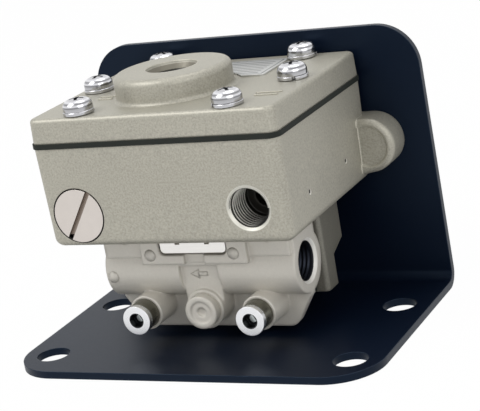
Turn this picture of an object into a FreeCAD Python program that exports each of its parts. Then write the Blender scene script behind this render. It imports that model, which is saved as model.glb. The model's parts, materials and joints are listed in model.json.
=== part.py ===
import FreeCAD, Part

import math
import os

os.makedirs("parts", exist_ok=True)

# Pneumatic delay valve on a folded bracket. All sizes are in millimetres.
# X runs to the right seen from the front, Y to the back and Z up. The origin is
# the centre of the four bracket holes, on the underside of the bracket.
# The bracket and the valve block stand about the plane X = 0. The housing and its
# cover lie a little to the left of it.

# Folded sheet bracket
SHEET = 2.3
BRACKET_WIDTH = 120.0
BASE_DEPTH = 77.0
UPRIGHT_HEIGHT = 85.0
BEND_INNER_R = 3.0
BASE_CORNER_R = 15.5
UPRIGHT_CORNER_R = 13.5
UPRIGHT_TRIM_LEFT = 6.0
UPRIGHT_TRIM_RIGHT = 1.4
BOLT_TO_SIDE = 10.0
BOLT_SPACING_Y = 42.0
BOLT_HOLE_R = 5.25
BOLTS_TO_UPRIGHT = 43.0

# Housing: a drafted box, open at the top
HOUSING_X = -0.75
HOUSING_WIDTH = 80.7
HOUSING_DEPTH = 65.0
HOUSING_HEIGHT = 31.1
HOUSING_BOTTOM_Z = 38.0
HOUSING_CORNER_R = 3.0
HOUSING_FOOT_R = 2.9
HOUSING_WALL = 4.0
HOUSING_FLOOR = 6.0
HOUSING_BACK_GAP = 1.3
DRAFT_DEG = 1.0

# Lugs and back pad that carry the housing on the upright
LUG_REACH = 1.65
LUG_Z = 49.5
LUG_R = 8.6
LUG_THICK = 10.0
LUG_EDGE_R = 1.8
LUG_DISH_R = 6.5
LUG_DISH_DEPTH = 0.7
PAD_Z = 60.0
PAD_R = 7.0
PAD_DEPTH = 10.0

# Leg of the housing casting, which carries the valve block
LEG_WIDTH = 64.0
LEG_FRONT_TO_UPRIGHT = 32.0
LEG_THICK = 16.5
LEG_FOOT_THICK = 8.5
LEG_STEP_Z = 20.5
LEG_BOTTOM_Z = 10.5
LEG_STEP_RISE = 3.0
LEG_EDGE_R = 1.5

# Cover, its joint and its boss
JOINT_THICK = 1.5
JOINT_OVERHANG = 0.4
COVER_THICK = 7.5
COVER_DRAFT_DEG = 1.5
COVER_EDGE_R = 1.2
BOSS_X = -3.7
BOSS_TO_UPRIGHT = 40.0
BOSS_R = 17.9
BOSS_HEIGHT = 7.6
BOSS_EDGE_R = 2.0
BOSS_FOOT_R = 1.2
VENT_MOUTH_R = 7.9
VENT_THROAT_R = 5.4
VENT_RIM_DROP = 0.5
VENT_CONE_DEPTH = 4.5
SPRING_CHAMBER_R = 13.0
FILTER_R = 6.5
FILTER_THICK = 1.6

# Label plate on the cover, notched round the boss
LABEL_RIGHT_X = 20.2
LABEL_LEFT_X = -12.0
LABEL_FRONT_Y = 14.8
LABEL_DEPTH = 19.8
LABEL_THICK = 0.5
LABEL_CORNER_R = 1.2
LABEL_NOTCH_GAP = 1.1

# Cover screws, two of them halfway back, and the pillars that they bite in
COVER_SCREW_SIDE = 15.85
COVER_SCREW_MID_SIDE = 7.35
COVER_SCREW_INSET = 5.2
COVER_SCREW_LENGTH = 16.0
PILLAR_R = 5.0
PILLAR_DEPTH = 11.0

# Small screws and spring washers, which hold the valve block
M4_R = 2.0
M4_HEAD_R = 4.3
M4_HEAD_HEIGHT = 2.7
M4_WASHER_R = 3.8
M4_WASHER_THICK = 1.0
CROSS_LENGTH = 4.4
CROSS_WIDTH = 0.9
CROSS_DEPTH = 1.5

# Larger screws and spring washers, which hold the cover and the bracket
M5_R = 2.5
M5_HEAD_R = 4.5
M5_HEAD_HEIGHT = 3.3
M5_WASHER_R = 4.65
M5_WASHER_THICK = 1.3
BRACKET_SCREW_LENGTH = 10.0

# Fits
SCREW_HOLE_GAP = 0.25
THREAD_GAP = 0.05
RUNNING_GAP = 0.05
SEAL_GAP = 0.05
PRESS_GAP = 0.02
BLIND_GAP = 1.5
SPLIT_GAP = 0.8

# Ports: the same quarter-inch pipe thread twice
PORT_R = 5.93
PORT_CHAMFER_R = 6.9
PORT_DEPTH = 12.0
PORT_WALL = 3.6
PORT_PASSAGE_R = 3.2
FRONT_PORT_X = 27.1
FRONT_PORT_Z = 48.9

# Slotted plug in the front face
PLUG_X = -29.4
PLUG_Z = 48.0
PLUG_R = 8.2
PLUG_THICK = 4.0
PLUG_NECK_R = 5.6
PLUG_NECK_LENGTH = 3.2
PLUG_RING_SPACE = 2.4
PLUG_SLOT_WIDTH = 1.5
PLUG_SLOT_DEPTH = 1.2
PLUG_SLOT_DEG = 57.7
PLUG_WALL = 3.0
PLUG_MOUTH = 0.45

# Timing piston with its valve stem, under the boss of the cover
PISTON_R = 17.0
PISTON_HEIGHT = 10.0
PISTON_TRAVEL = 5.0
PISTON_STOP_GAP = 0.6
PISTON_RECESS_R = 12.5
PISTON_RECESS_DEPTH = 4.0
PISTON_RING_DEPTH = 1.8
PISTON_RING_WIDTH = 2.3
CYLINDER_WALL = 3.0
CYLINDER_PORT_R = 2.0
SPRING_R = 10.2
SPRING_WIRE_R = 0.7
SPRING_TURNS = 4.5
SPRING_STEPS = 16
SPRING_SIDES = 8
STEM_R = 3.0
STEM_THREAD_R = 2.0
STEM_FLANGE_R = 4.5
STEM_FLANGE_THICK = 1.5
NUT_HEIGHT = 3.2
NUT_FLATS = 7.0
POPPET_R = 5.5
POPPET_THICK = 2.0
POPPET_SEAL_THICK = 1.2
SEAT_HEIGHT = 1.5
SEAT_WALL = 2.0
SEAT_R = 2.6
DRILLING_R = 1.5

# Valve block: a barrel with a slab above and a web below
BLOCK_WIDTH = 64.0
BLOCK_TOP_GAP = 0.6
BARREL_TO_UPRIGHT = 43.5
BARREL_Z = 24.8
BARREL_R = 9.7
GALLERY_R = 3.0
SLAB_FRONT = 8.1
SLAB_BACK = 7.3
BAND_FRONT = 9.1
BAND_BOTTOM_Z = 29.7
BAND_INSET = 1.0
PANEL_FRONT = 11.0
PANEL_WIDTH = 35.6
PANEL_BOTTOM_Z = 28.1
CENTRE_FLAT_WIDTH = 13.2
CENTRE_FLAT_FRONT = 7.9
CENTRE_FLAT_TOP_Z = 27.0
MATE_WIDTH = 56.0
MATE_BOTTOM_Z = 11.0
MATE_DEPTH = 7.5
WEB_FRONT = 1.5
WEB_THICK = 3.0
WEB_BOTTOM_Z = 4.6
WEB_SHOULDER_Z = 14.5
WEB_BOTTOM_WIDTH = 51.6
WEB_CORNER_R = 4.0
BLOCK_GASKET_THICK = 1.5

# Steel plate held in a recess of the panel
PLATE_WIDTH = 22.0
PLATE_THICK = 1.6
PLATE_BOTTOM_Z = 31.5
PLATE_RECESS_GAP = 0.6
PLATE_RECESS_DEPTH = 2.2
PLATE_CORNER_R = 1.4
PLATE_TOP_GAP = 0.4
PLATE_NOTCH_X = 5.0
PLATE_NOTCH_WIDTH = 1.6
PLATE_NOTCH_Z = 34.2
POCKET_WIDTH = 6.8
POCKET_DEPTH = 1.5

# Screws that hold the valve block, from behind the leg
BLOCK_SCREW_X = 16.0
BLOCK_SCREW_Z = 33.2
BLOCK_SCREW_LOW_X = 10.0
BLOCK_SCREW_LOW_Z = 15.0
BLOCK_SCREW_LENGTH = 25.0

# Small locating holes at the top of the block's front
LOCATING_X = 23.9
LOCATING_Z = 36.0
LOCATING_R = 1.8
LOCATING_DEPTH = 3.0

# Needle and ball seats, measured from the barrel's axis
VALVE_SEAT_BACK = 0.7

# Needles: the two adjusters, which turn in a threaded boss
NEEDLE_X = 19.1
NEEDLE_Z = 12.9
NEEDLE_FACE_TO_BARREL = 18.5
NEEDLE_HEAD_R = 4.55
NEEDLE_HEAD_THICK = 1.6
NEEDLE_SLIT = 0.5
NEEDLE_SLIT_R = 3.9
NEEDLE_BODY_R = 4.5
NEEDLE_BODY_LENGTH = 9.9
NEEDLE_GROOVE_R = 3.2
NEEDLE_GROOVE_WIDTH = 2.5
NEEDLE_SHOULDER = 1.5
NEEDLE_SHOULDER_R = 4.0
NEEDLE_SOCKET_FLATS = 4.0
NEEDLE_SOCKET_DEPTH = 2.5
NEEDLE_BOSS_R = 5.4
NEEDLE_BOSS_FRONT = 12.0
NEEDLE_BOSS_BACK = 6.5
NEEDLE_SCREW_IN = 1.0
NEEDLE_TAPER = 0.3
NEEDLE_CONE_ABOVE = 1.0
NEEDLE_CONE_BELOW = 1.7
ORIFICE_R = 1.2
ORIFICE_GAP = 0.05
ORIFICE_LENGTH = 3.0
SEAT_CHAMBER_R = 2.4
SEAT_CHAMBER_LENGTH = 2.0
LINK_R = 1.4
LINK_BACK = 3.0

# Centre plug with the check ball behind it
CENTRE_PLUG_Z = 13.1
CENTRE_PLUG_R = 5.17
CENTRE_PLUG_HEAD = 3.0
CENTRE_PLUG_SHANK_R = 4.0
CENTRE_PLUG_SHANK = 3.0
CENTRE_PLUG_DISH_R = 3.5
CENTRE_PLUG_DISH = 0.4
CENTRE_PLUG_DIMPLE_R = 1.4
CENTRE_PLUG_DIMPLE = 0.8
CENTRE_BOSS_R = 6.2
CENTRE_BOSS_FRONT = 9.5
CENTRE_RING_R = 0.42
BALL_R = 2.4
BALL_GAP = 0.3
BALL_SEAT_R = 1.6
BALL_REST_GAP = 0.1

# Places worked out from the sizes above
X_AXIS = FreeCAD.Vector(1, 0, 0)
Y_AXIS = FreeCAD.Vector(0, 1, 0)
Z_AXIS = FreeCAD.Vector(0, 0, 1)
UPRIGHT_Y = BOLTS_TO_UPRIGHT
BOLT_SPACING_X = BRACKET_WIDTH - 2 * BOLT_TO_SIDE
LUG_X = HOUSING_WIDTH / 2 + LUG_REACH
COVER_SCREW_X = HOUSING_WIDTH / 2 - COVER_SCREW_SIDE
COVER_SCREW_MID_X = HOUSING_WIDTH / 2 - COVER_SCREW_MID_SIDE
JOINT_Z = HOUSING_BOTTOM_Z + HOUSING_HEIGHT
FLOOR_Z = HOUSING_BOTTOM_Z + HOUSING_FLOOR
HOUSING_BACK_Y = UPRIGHT_Y - HOUSING_BACK_GAP
HOUSING_FRONT_Y = HOUSING_BACK_Y - HOUSING_DEPTH
HOUSING_Y = (HOUSING_BACK_Y + HOUSING_FRONT_Y) / 2
COVER_Z = JOINT_Z + JOINT_THICK
COVER_TOP_Z = COVER_Z + COVER_THICK
BOSS_Y = UPRIGHT_Y - BOSS_TO_UPRIGHT
BOSS_TOP_Z = COVER_TOP_Z + BOSS_HEIGHT
FILTER_Z = BOSS_TOP_Z - VENT_RIM_DROP - VENT_CONE_DEPTH - FILTER_THICK
PISTON_TOP_Z = COVER_Z - PISTON_TRAVEL - PISTON_STOP_GAP
PISTON_Z = PISTON_TOP_Z - PISTON_HEIGHT
CYLINDER_R = PISTON_R + RUNNING_GAP
LEG_FRONT_Y = UPRIGHT_Y - LEG_FRONT_TO_UPRIGHT
LEG_BACK_Y = LEG_FRONT_Y + LEG_THICK
BARREL_Y = UPRIGHT_Y - BARREL_TO_UPRIGHT
BLOCK_BACK_Y = LEG_FRONT_Y - BLOCK_GASKET_THICK
BLOCK_TOP_Z = HOUSING_BOTTOM_Z - BLOCK_TOP_GAP
PANEL_Y = BARREL_Y - PANEL_FRONT
NEEDLE_FACE_Y = BARREL_Y - NEEDLE_FACE_TO_BARREL
CENTRE_FACE_Y = BARREL_Y - CENTRE_BOSS_FRONT
VALVE_SEAT_Y = BARREL_Y + VALVE_SEAT_BACK
PILLAR_Z = JOINT_Z - PILLAR_DEPTH
NEAR = 0.01


def point(x, y, z):
    return FreeCAD.Vector(x, y, z)


def block(x0, x1, y0, y1, z0, z1):
    return Part.makeBox(x1 - x0, y1 - y0, z1 - z0, point(x0, y0, z0))


def upright_cylinder(radius, x, y, z0, z1):
    return Part.makeCylinder(radius, z1 - z0, point(x, y, z0), Z_AXIS)


def level_cylinder(radius, x, z, y0, y1):
    return Part.makeCylinder(radius, y1 - y0, point(x, y0, z), Y_AXIS)


def level_cone(radius0, radius1, x, z, y0, y1):
    return Part.makeCone(radius0, radius1, y1 - y0, point(x, y0, z), Y_AXIS)


def fused(shapes):
    result = shapes[0]
    for shape in shapes[1:]:
        result = result.fuse(shape)
    return result.removeSplitter()


def without(shape, tools):
    for tool in tools:
        shape = shape.cut(tool)
    return shape


def prism_x(outline, x0, x1):
    """A (y, z) outline swept along X."""
    corners = [point(x0, y, z) for y, z in outline]
    face = Part.Face(Part.makePolygon(corners + corners[:1]))
    return face.extrude(point(x1 - x0, 0, 0))


def prism_y(outline, y0, y1):
    """An (x, z) outline swept along Y."""
    corners = [point(x, y0, z) for x, z in outline]
    face = Part.Face(Part.makePolygon(corners + corners[:1]))
    return face.extrude(point(0, y1 - y0, 0))


def turned(outline, base, direction):
    """A (radius, length) outline turned about an axis through base."""
    corners = [point(radius, 0, length) for radius, length in outline]
    face = Part.Face(Part.makePolygon(corners + corners[:1]))
    solid = face.revolve(point(0, 0, 0), Z_AXIS, 360)
    solid.Placement = FreeCAD.Placement(base, FreeCAD.Rotation(Z_AXIS, direction))
    return solid


def ring(major, minor, base, direction):
    return Part.makeTorus(major, minor, base, direction)


def hexagon(flats, length, base, direction):
    corners = []
    for step in range(7):
        angle = math.radians(60 * step)
        radius = flats / math.sqrt(3)
        corners.append(point(radius * math.cos(angle), radius * math.sin(angle), 0))
    prism = Part.Face(Part.makePolygon(corners)).extrude(point(0, 0, length))
    prism.Placement = FreeCAD.Placement(base, FreeCAD.Rotation(Z_AXIS, direction))
    return prism


def rounded_wire(width, depth, radius, x, y, z):
    """A closed level outline with round corners."""
    points = []
    for index, (side_x, side_y) in enumerate(((1, -1), (1, 1), (-1, 1), (-1, -1))):
        centre_x = x + side_x * (width / 2 - radius)
        centre_y = y + side_y * (depth / 2 - radius)
        for step in (0, 45, 90):
            angle = math.radians(90 * index - 90 + step)
            place_x = centre_x + radius * math.cos(angle)
            points.append(point(place_x, centre_y + radius * math.sin(angle), z))
    edges = []
    for first in range(0, len(points), 3):
        start, middle, end = points[first:first + 3]
        following = points[(first + 3) % len(points)]
        edges.append(Part.Arc(start, middle, end).toShape())
        edges.append(Part.LineSegment(end, following).toShape())
    return Part.Wire(edges)


def rounded_plate(width, depth, radius, x, y, z0, z1):
    wire = rounded_wire(width, depth, radius, x, y, z0)
    return Part.Face(wire).extrude(point(0, 0, z1 - z0))


def drafted_box(inset, z0, z1, draft_z, draft_deg, corner_r):
    """The housing's level outline, inset, tapering away from the height draft_z."""
    wires = []
    for z in (z0, z1):
        taper = abs(z - draft_z) * math.tan(math.radians(draft_deg))
        width = HOUSING_WIDTH - 2 * (inset + taper)
        depth = HOUSING_DEPTH - 2 * (inset + taper)
        wires.append(rounded_wire(width, depth, corner_r, HOUSING_X, HOUSING_Y, z))
    return Part.makeLoft(wires, True, True)


def edges_at(shape, axis, value):
    """Edges whose every end lies at one height along an axis, 0 for X to 2 for Z."""
    found = []
    for edge in shape.Edges:
        if all(abs(vertex.Point[axis] - value) < NEAR for vertex in edge.Vertexes):
            found.append(edge)
    return found


def edges_along(shape, direction):
    """Straight edges parallel to a direction."""
    found = []
    for edge in shape.Edges:
        if isinstance(edge.Curve, Part.Line) and edge.Curve.Direction.cross(direction).Length < NEAR:
            found.append(edge)
    return found


def front_face_y(z):
    """Where the drafted front face of the housing stands at a height."""
    return HOUSING_FRONT_Y + (JOINT_Z - z) * math.tan(math.radians(DRAFT_DEG))


def cover_screw_places():
    places = []
    for side in (-1, 1):
        x = HOUSING_X + side * COVER_SCREW_X
        places.append((x, HOUSING_FRONT_Y + COVER_SCREW_INSET))
        places.append((HOUSING_X + side * COVER_SCREW_MID_X, HOUSING_Y))
        places.append((x, HOUSING_BACK_Y - COVER_SCREW_INSET))
    return places


def bolt_places():
    places = []
    for side_x in (-1, 1):
        for side_y in (-1, 1):
            places.append((side_x * BOLT_SPACING_X / 2, side_y * BOLT_SPACING_Y / 2))
    return places


def bracket_screw_places():
    return [(-LUG_X, LUG_Z), (LUG_X, LUG_Z), (0, PAD_Z)]


def block_screw_places():
    places = []
    for side in (-1, 1):
        places.append((side * BLOCK_SCREW_X, BLOCK_SCREW_Z))
        places.append((side * BLOCK_SCREW_LOW_X, BLOCK_SCREW_LOW_Z))
    return places


def pan_screw(radius, length, head_r, head_height, base, direction):
    """A pan head screw with a cross recess. The base lies under the head."""
    head = Part.makeCylinder(head_r, head_height)
    head = head.makeFillet(head_height / 2, edges_at(head, 2, head_height))
    shank = Part.makeCylinder(radius, length, point(0, 0, -length), Z_AXIS)
    screw = head.fuse(shank)
    low = head_height - CROSS_DEPTH
    for long_x, long_y in ((CROSS_LENGTH, CROSS_WIDTH), (CROSS_WIDTH, CROSS_LENGTH)):
        screw = screw.cut(block(-long_x / 2, long_x / 2, -long_y / 2, long_y / 2, low, head_height))
    screw.Placement = FreeCAD.Placement(base, FreeCAD.Rotation(Z_AXIS, direction))
    return screw


def spring_washer(hole_r, outer_r, thick, base, direction):
    """A washer with a split. It lies on the base."""
    washer = Part.makeCylinder(outer_r, thick).cut(Part.makeCylinder(hole_r, thick))
    washer = washer.cut(block(0, outer_r, 0, SPLIT_GAP, 0, thick))
    washer.Placement = FreeCAD.Placement(base, FreeCAD.Rotation(Z_AXIS, direction))
    return washer


def make_bracket():
    """One sheet folded into a base and an upright, which narrows upwards."""
    outer_r = BEND_INNER_R + SHEET
    front = UPRIGHT_Y - BASE_DEPTH
    back = UPRIGHT_Y + SHEET
    centre_y = UPRIGHT_Y - BEND_INNER_R
    centre_z = SHEET + BEND_INNER_R
    low_turn = math.sin(math.radians(45))

    def at(y, z):
        return point(-BRACKET_WIDTH / 2, y, z)

    edges = [
        Part.LineSegment(at(front, 0), at(centre_y, 0)).toShape(),
        Part.Arc(
            at(centre_y, 0),
            at(centre_y + outer_r * low_turn, centre_z - outer_r * low_turn),
            at(back, centre_z),
        ).toShape(),
        Part.LineSegment(at(back, centre_z), at(back, UPRIGHT_HEIGHT)).toShape(),
        Part.LineSegment(at(back, UPRIGHT_HEIGHT), at(UPRIGHT_Y, UPRIGHT_HEIGHT)).toShape(),
        Part.LineSegment(at(UPRIGHT_Y, UPRIGHT_HEIGHT), at(UPRIGHT_Y, centre_z)).toShape(),
        Part.Arc(
            at(UPRIGHT_Y, centre_z),
            at(centre_y + BEND_INNER_R * low_turn, centre_z - BEND_INNER_R * low_turn),
            at(centre_y, SHEET),
        ).toShape(),
        Part.LineSegment(at(centre_y, SHEET), at(front, SHEET)).toShape(),
        Part.LineSegment(at(front, SHEET), at(front, 0)).toShape(),
    ]
    sheet = Part.Face(Part.Wire(edges)).extrude(point(BRACKET_WIDTH, 0, 0))
    base_corners = [edge for edge in edges_along(sheet, Z_AXIS) if abs(edge.Vertexes[0].Y - front) < NEAR]
    sheet = sheet.makeFillet(BASE_CORNER_R, base_corners)
    for side, trim in ((-1, UPRIGHT_TRIM_LEFT), (1, UPRIGHT_TRIM_RIGHT)):
        edge_x = side * BRACKET_WIDTH / 2
        top_x = edge_x - side * trim
        sliver = [(edge_x, centre_z), (edge_x, UPRIGHT_HEIGHT), (top_x, UPRIGHT_HEIGHT)]
        sheet = sheet.cut(prism_y(sliver, UPRIGHT_Y, back))
    top_corners = []
    for edge in edges_along(sheet, Y_AXIS):
        if abs(edge.Vertexes[0].Z - UPRIGHT_HEIGHT) < NEAR:
            top_corners.append(edge)
    sheet = sheet.makeFillet(UPRIGHT_CORNER_R, top_corners)
    holes = [upright_cylinder(BOLT_HOLE_R, x, y, 0, SHEET) for x, y in bolt_places()]
    for x, z in bracket_screw_places():
        holes.append(level_cylinder(M5_R + SCREW_HOLE_GAP, x, z, UPRIGHT_Y, back))
    return without(sheet, holes)


def lug_blank(side):
    """One ear: a disc with a horizontal top and a tangent to the housing's foot."""
    root_x = HOUSING_WIDTH / 2 - HOUSING_WALL + side * HOUSING_X
    foot_z = HOUSING_BOTTOM_Z + HOUSING_FOOT_R / 2
    reach = math.hypot(LUG_X - root_x, LUG_Z - foot_z)
    heading = math.atan2(foot_z - LUG_Z, root_x - LUG_X) + math.acos(LUG_R / reach)
    tangent_x = LUG_X + LUG_R * math.cos(heading)
    tangent_z = LUG_Z + LUG_R * math.sin(heading)
    front = UPRIGHT_Y - LUG_THICK
    outline = [
        (side * root_x, foot_z),
        (side * tangent_x, tangent_z),
        (side * LUG_X, LUG_Z),
        (side * LUG_X, LUG_Z + LUG_R),
        (side * root_x, LUG_Z + LUG_R),
    ]
    lug = prism_y(outline, front, UPRIGHT_Y).fuse(
        level_cylinder(LUG_R, side * LUG_X, LUG_Z, front, UPRIGHT_Y)
    )
    lug = lug.removeSplitter()
    rims = []
    for edge in edges_at(lug, 1, front):
        if abs(edge.BoundBox.Center.x) > root_x + NEAR:
            rims.append(edge)
    lug = lug.makeFillet(LUG_EDGE_R, rims)
    dish = level_cylinder(LUG_DISH_R, side * LUG_X, LUG_Z, front, front + LUG_DISH_DEPTH)
    return lug.cut(dish)


def make_leg():
    """The leg under the housing, thinner at its foot."""
    foot_back = LEG_FRONT_Y + LEG_FOOT_THICK
    outline = [
        (LEG_FRONT_Y, LEG_BOTTOM_Z),
        (foot_back, LEG_BOTTOM_Z),
        (foot_back, LEG_STEP_Z),
        (LEG_BACK_Y, LEG_STEP_Z + LEG_STEP_RISE),
        (LEG_BACK_Y, HOUSING_BOTTOM_Z + HOUSING_FOOT_R),
        (LEG_FRONT_Y, HOUSING_BOTTOM_Z + HOUSING_FOOT_R),
    ]
    leg = prism_x(outline, -LEG_WIDTH / 2, LEG_WIDTH / 2)
    upright_edges = edges_along(leg, Z_AXIS)
    return leg.makeFillet(LEG_EDGE_R, upright_edges)


def housing_void():
    """The timing chamber: the inside of the box less what stands in it."""
    void = drafted_box(HOUSING_WALL, FLOOR_Z, JOINT_Z, JOINT_Z, DRAFT_DEG, HOUSING_CORNER_R)
    features = [upright_cylinder(PILLAR_R, x, y, PILLAR_Z, JOINT_Z) for x, y in cover_screw_places()]
    features.append(upright_cylinder(CYLINDER_R + CYLINDER_WALL, BOSS_X, BOSS_Y, FLOOR_Z, JOINT_Z))
    port_end = front_face_y(FRONT_PORT_Z) + PORT_DEPTH + PORT_WALL
    port_wall_r = PORT_R + PORT_WALL
    features.append(level_cylinder(port_wall_r, FRONT_PORT_X, FRONT_PORT_Z, HOUSING_FRONT_Y, port_end))
    plug_end = front_face_y(PLUG_Z) + PLUG_THICK + PLUG_RING_SPACE + PLUG_WALL
    features.append(level_cylinder(PLUG_R + PLUG_WALL, PLUG_X, PLUG_Z, HOUSING_FRONT_Y, plug_end))
    pad_front = UPRIGHT_Y - PAD_DEPTH
    features.append(level_cylinder(PAD_R, 0, PAD_Z, pad_front, UPRIGHT_Y))
    for side in (-1, 1):
        ear_front = UPRIGHT_Y - LUG_THICK
        features.append(level_cylinder(LUG_R, side * LUG_X, LUG_Z, ear_front, UPRIGHT_Y))
    void = without(void, features)
    bore = upright_cylinder(CYLINDER_R, BOSS_X, BOSS_Y, FLOOR_Z, JOINT_Z)
    seat = upright_cylinder(SEAT_R + SEAT_WALL, BOSS_X, BOSS_Y, FLOOR_Z, FLOOR_Z + SEAT_HEIGHT)
    return void.fuse(bore.cut(seat))


def housing_drillings():
    """Ports, plug bore, tapped holes and air passages of the housing."""
    cuts = []
    port_y = front_face_y(FRONT_PORT_Z)
    plug_y = front_face_y(PLUG_Z)
    chamfer = PORT_CHAMFER_R - PORT_R
    cuts.append(level_cylinder(PORT_R, FRONT_PORT_X, FRONT_PORT_Z, HOUSING_FRONT_Y, port_y + PORT_DEPTH))
    cuts.append(level_cone(PORT_CHAMFER_R, PORT_R, FRONT_PORT_X, FRONT_PORT_Z, port_y, port_y + chamfer))
    inner_y = port_y + PORT_DEPTH + 2 * PORT_WALL
    cuts.append(level_cylinder(PORT_PASSAGE_R, FRONT_PORT_X, FRONT_PORT_Z, port_y, inner_y))
    ring_end = plug_y + PLUG_THICK + PLUG_RING_SPACE
    bore_r = PLUG_R + THREAD_GAP
    cuts.append(level_cylinder(bore_r, PLUG_X, PLUG_Z, HOUSING_FRONT_Y, ring_end))
    mouth_end = plug_y + PLUG_MOUTH
    mouth_r = bore_r + mouth_end - HOUSING_FRONT_Y
    cuts.append(level_cone(mouth_r, bore_r, PLUG_X, PLUG_Z, HOUSING_FRONT_Y, mouth_end))
    neck_r = PLUG_NECK_R + THREAD_GAP
    cuts.append(level_cylinder(neck_r, PLUG_X, PLUG_Z, ring_end, ring_end + 2 * PLUG_WALL))
    for x, y in cover_screw_places():
        depth = COVER_SCREW_LENGTH - COVER_THICK - JOINT_THICK - M5_WASHER_THICK + BLIND_GAP
        cuts.append(upright_cylinder(M5_R + THREAD_GAP, x, y, JOINT_Z - depth, JOINT_Z))
    for x, z in bracket_screw_places():
        depth = BRACKET_SCREW_LENGTH - SHEET - M5_WASHER_THICK + BLIND_GAP
        cuts.append(level_cylinder(M5_R + THREAD_GAP, x, z, UPRIGHT_Y - depth, UPRIGHT_Y))
    for x, z in block_screw_places():
        back = LEG_BACK_Y if z > LEG_STEP_Z else LEG_FRONT_Y + LEG_FOOT_THICK
        cuts.append(level_cylinder(M4_R + SCREW_HOLE_GAP, x, z, LEG_FRONT_Y, back))
    seat_top = FLOOR_Z + SEAT_HEIGHT
    drilling_z = HOUSING_BOTTOM_Z + HOUSING_FLOOR / 2
    leg_y = LEG_FRONT_Y + LEG_FOOT_THICK / 2
    cuts.append(upright_cylinder(SEAT_R, BOSS_X, BOSS_Y, drilling_z, seat_top))
    cuts.append(level_cylinder(DRILLING_R, BOSS_X, drilling_z, BOSS_Y, leg_y))
    cuts.append(upright_cylinder(DRILLING_R, BOSS_X, leg_y, BARREL_Z, drilling_z))
    cuts.append(level_cylinder(DRILLING_R, BOSS_X, BARREL_Z, LEG_FRONT_Y, leg_y))
    reach = CYLINDER_R + 2 * CYLINDER_WALL
    port_z = FLOOR_Z + SEAT_HEIGHT + CYLINDER_PORT_R
    start = point(BOSS_X - reach, BOSS_Y, port_z)
    cuts.append(Part.makeCylinder(CYLINDER_PORT_R, 2 * reach, start, X_AXIS))
    return cuts


def make_housing():
    """The main casting: box, ears, back pad and leg, with its chamber and bores."""
    body = drafted_box(0, HOUSING_BOTTOM_Z, JOINT_Z, JOINT_Z, DRAFT_DEG, HOUSING_CORNER_R)
    body = body.makeFillet(HOUSING_FOOT_R, edges_at(body, 2, HOUSING_BOTTOM_Z))
    pad = level_cylinder(PAD_R, 0, PAD_Z, UPRIGHT_Y - PAD_DEPTH, UPRIGHT_Y)
    body = fused([body, lug_blank(-1), lug_blank(1), pad, make_leg()])
    body = body.cut(housing_void())
    return without(body, housing_drillings())


def make_cover_gasket():
    """The black sheet between housing and cover, which stands proud all round."""
    width = HOUSING_WIDTH + 2 * JOINT_OVERHANG
    depth = HOUSING_DEPTH + 2 * JOINT_OVERHANG
    corner = HOUSING_CORNER_R + JOINT_OVERHANG
    sheet = rounded_plate(width, depth, corner, HOUSING_X, HOUSING_Y, JOINT_Z, COVER_Z)
    holes = [upright_cylinder(CYLINDER_R + SCREW_HOLE_GAP, BOSS_X, BOSS_Y, JOINT_Z, COVER_Z)]
    for x, y in cover_screw_places():
        holes.append(upright_cylinder(M5_R + SCREW_HOLE_GAP, x, y, JOINT_Z, COVER_Z))
    return without(sheet, holes)


def make_cover():
    """The lid with the round boss that holds the spring and the vent."""
    plate = drafted_box(0, COVER_Z, COVER_TOP_Z, COVER_Z, COVER_DRAFT_DEG, HOUSING_CORNER_R)
    plate = plate.makeFillet(COVER_EDGE_R, edges_at(plate, 2, COVER_TOP_Z))
    boss = upright_cylinder(BOSS_R, BOSS_X, BOSS_Y, COVER_Z, BOSS_TOP_Z)
    boss = boss.makeFillet(BOSS_EDGE_R, edges_at(boss, 2, BOSS_TOP_Z))
    cover = plate.fuse(boss).removeSplitter()
    foot = []
    for edge in edges_at(cover, 2, COVER_TOP_Z):
        if isinstance(edge.Curve, Part.Circle) and abs(edge.Curve.Radius - BOSS_R) < NEAR:
            foot.append(edge)
    cover = cover.makeFillet(BOSS_FOOT_R, foot)
    cone_z = FILTER_Z + FILTER_THICK
    cone = Part.makeCone(
        VENT_THROAT_R, VENT_MOUTH_R, VENT_CONE_DEPTH, point(BOSS_X, BOSS_Y, cone_z), Z_AXIS
    )
    rim_z = cone_z + VENT_CONE_DEPTH
    holes = [
        cone,
        upright_cylinder(VENT_MOUTH_R, BOSS_X, BOSS_Y, rim_z, BOSS_TOP_Z),
        upright_cylinder(FILTER_R, BOSS_X, BOSS_Y, FILTER_Z, cone_z),
        upright_cylinder(SPRING_CHAMBER_R, BOSS_X, BOSS_Y, COVER_Z, FILTER_Z),
    ]
    for x, y in cover_screw_places():
        holes.append(upright_cylinder(M5_R + SCREW_HOLE_GAP, x, y, COVER_Z, COVER_TOP_Z))
    return without(cover, holes)


def make_cover_screws():
    z = COVER_TOP_Z + M5_WASHER_THICK
    length = COVER_SCREW_LENGTH
    screws = []
    for x, y in cover_screw_places():
        screws.append(pan_screw(M5_R, length, M5_HEAD_R, M5_HEAD_HEIGHT, point(x, y, z), Z_AXIS))
    return Part.makeCompound(screws)


def make_cover_spring_washers():
    washers = []
    for x, y in cover_screw_places():
        base = point(x, y, COVER_TOP_Z)
        hole_r = M5_R + SCREW_HOLE_GAP
        washers.append(spring_washer(hole_r, M5_WASHER_R, M5_WASHER_THICK, base, Z_AXIS))
    return Part.makeCompound(washers)


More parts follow.
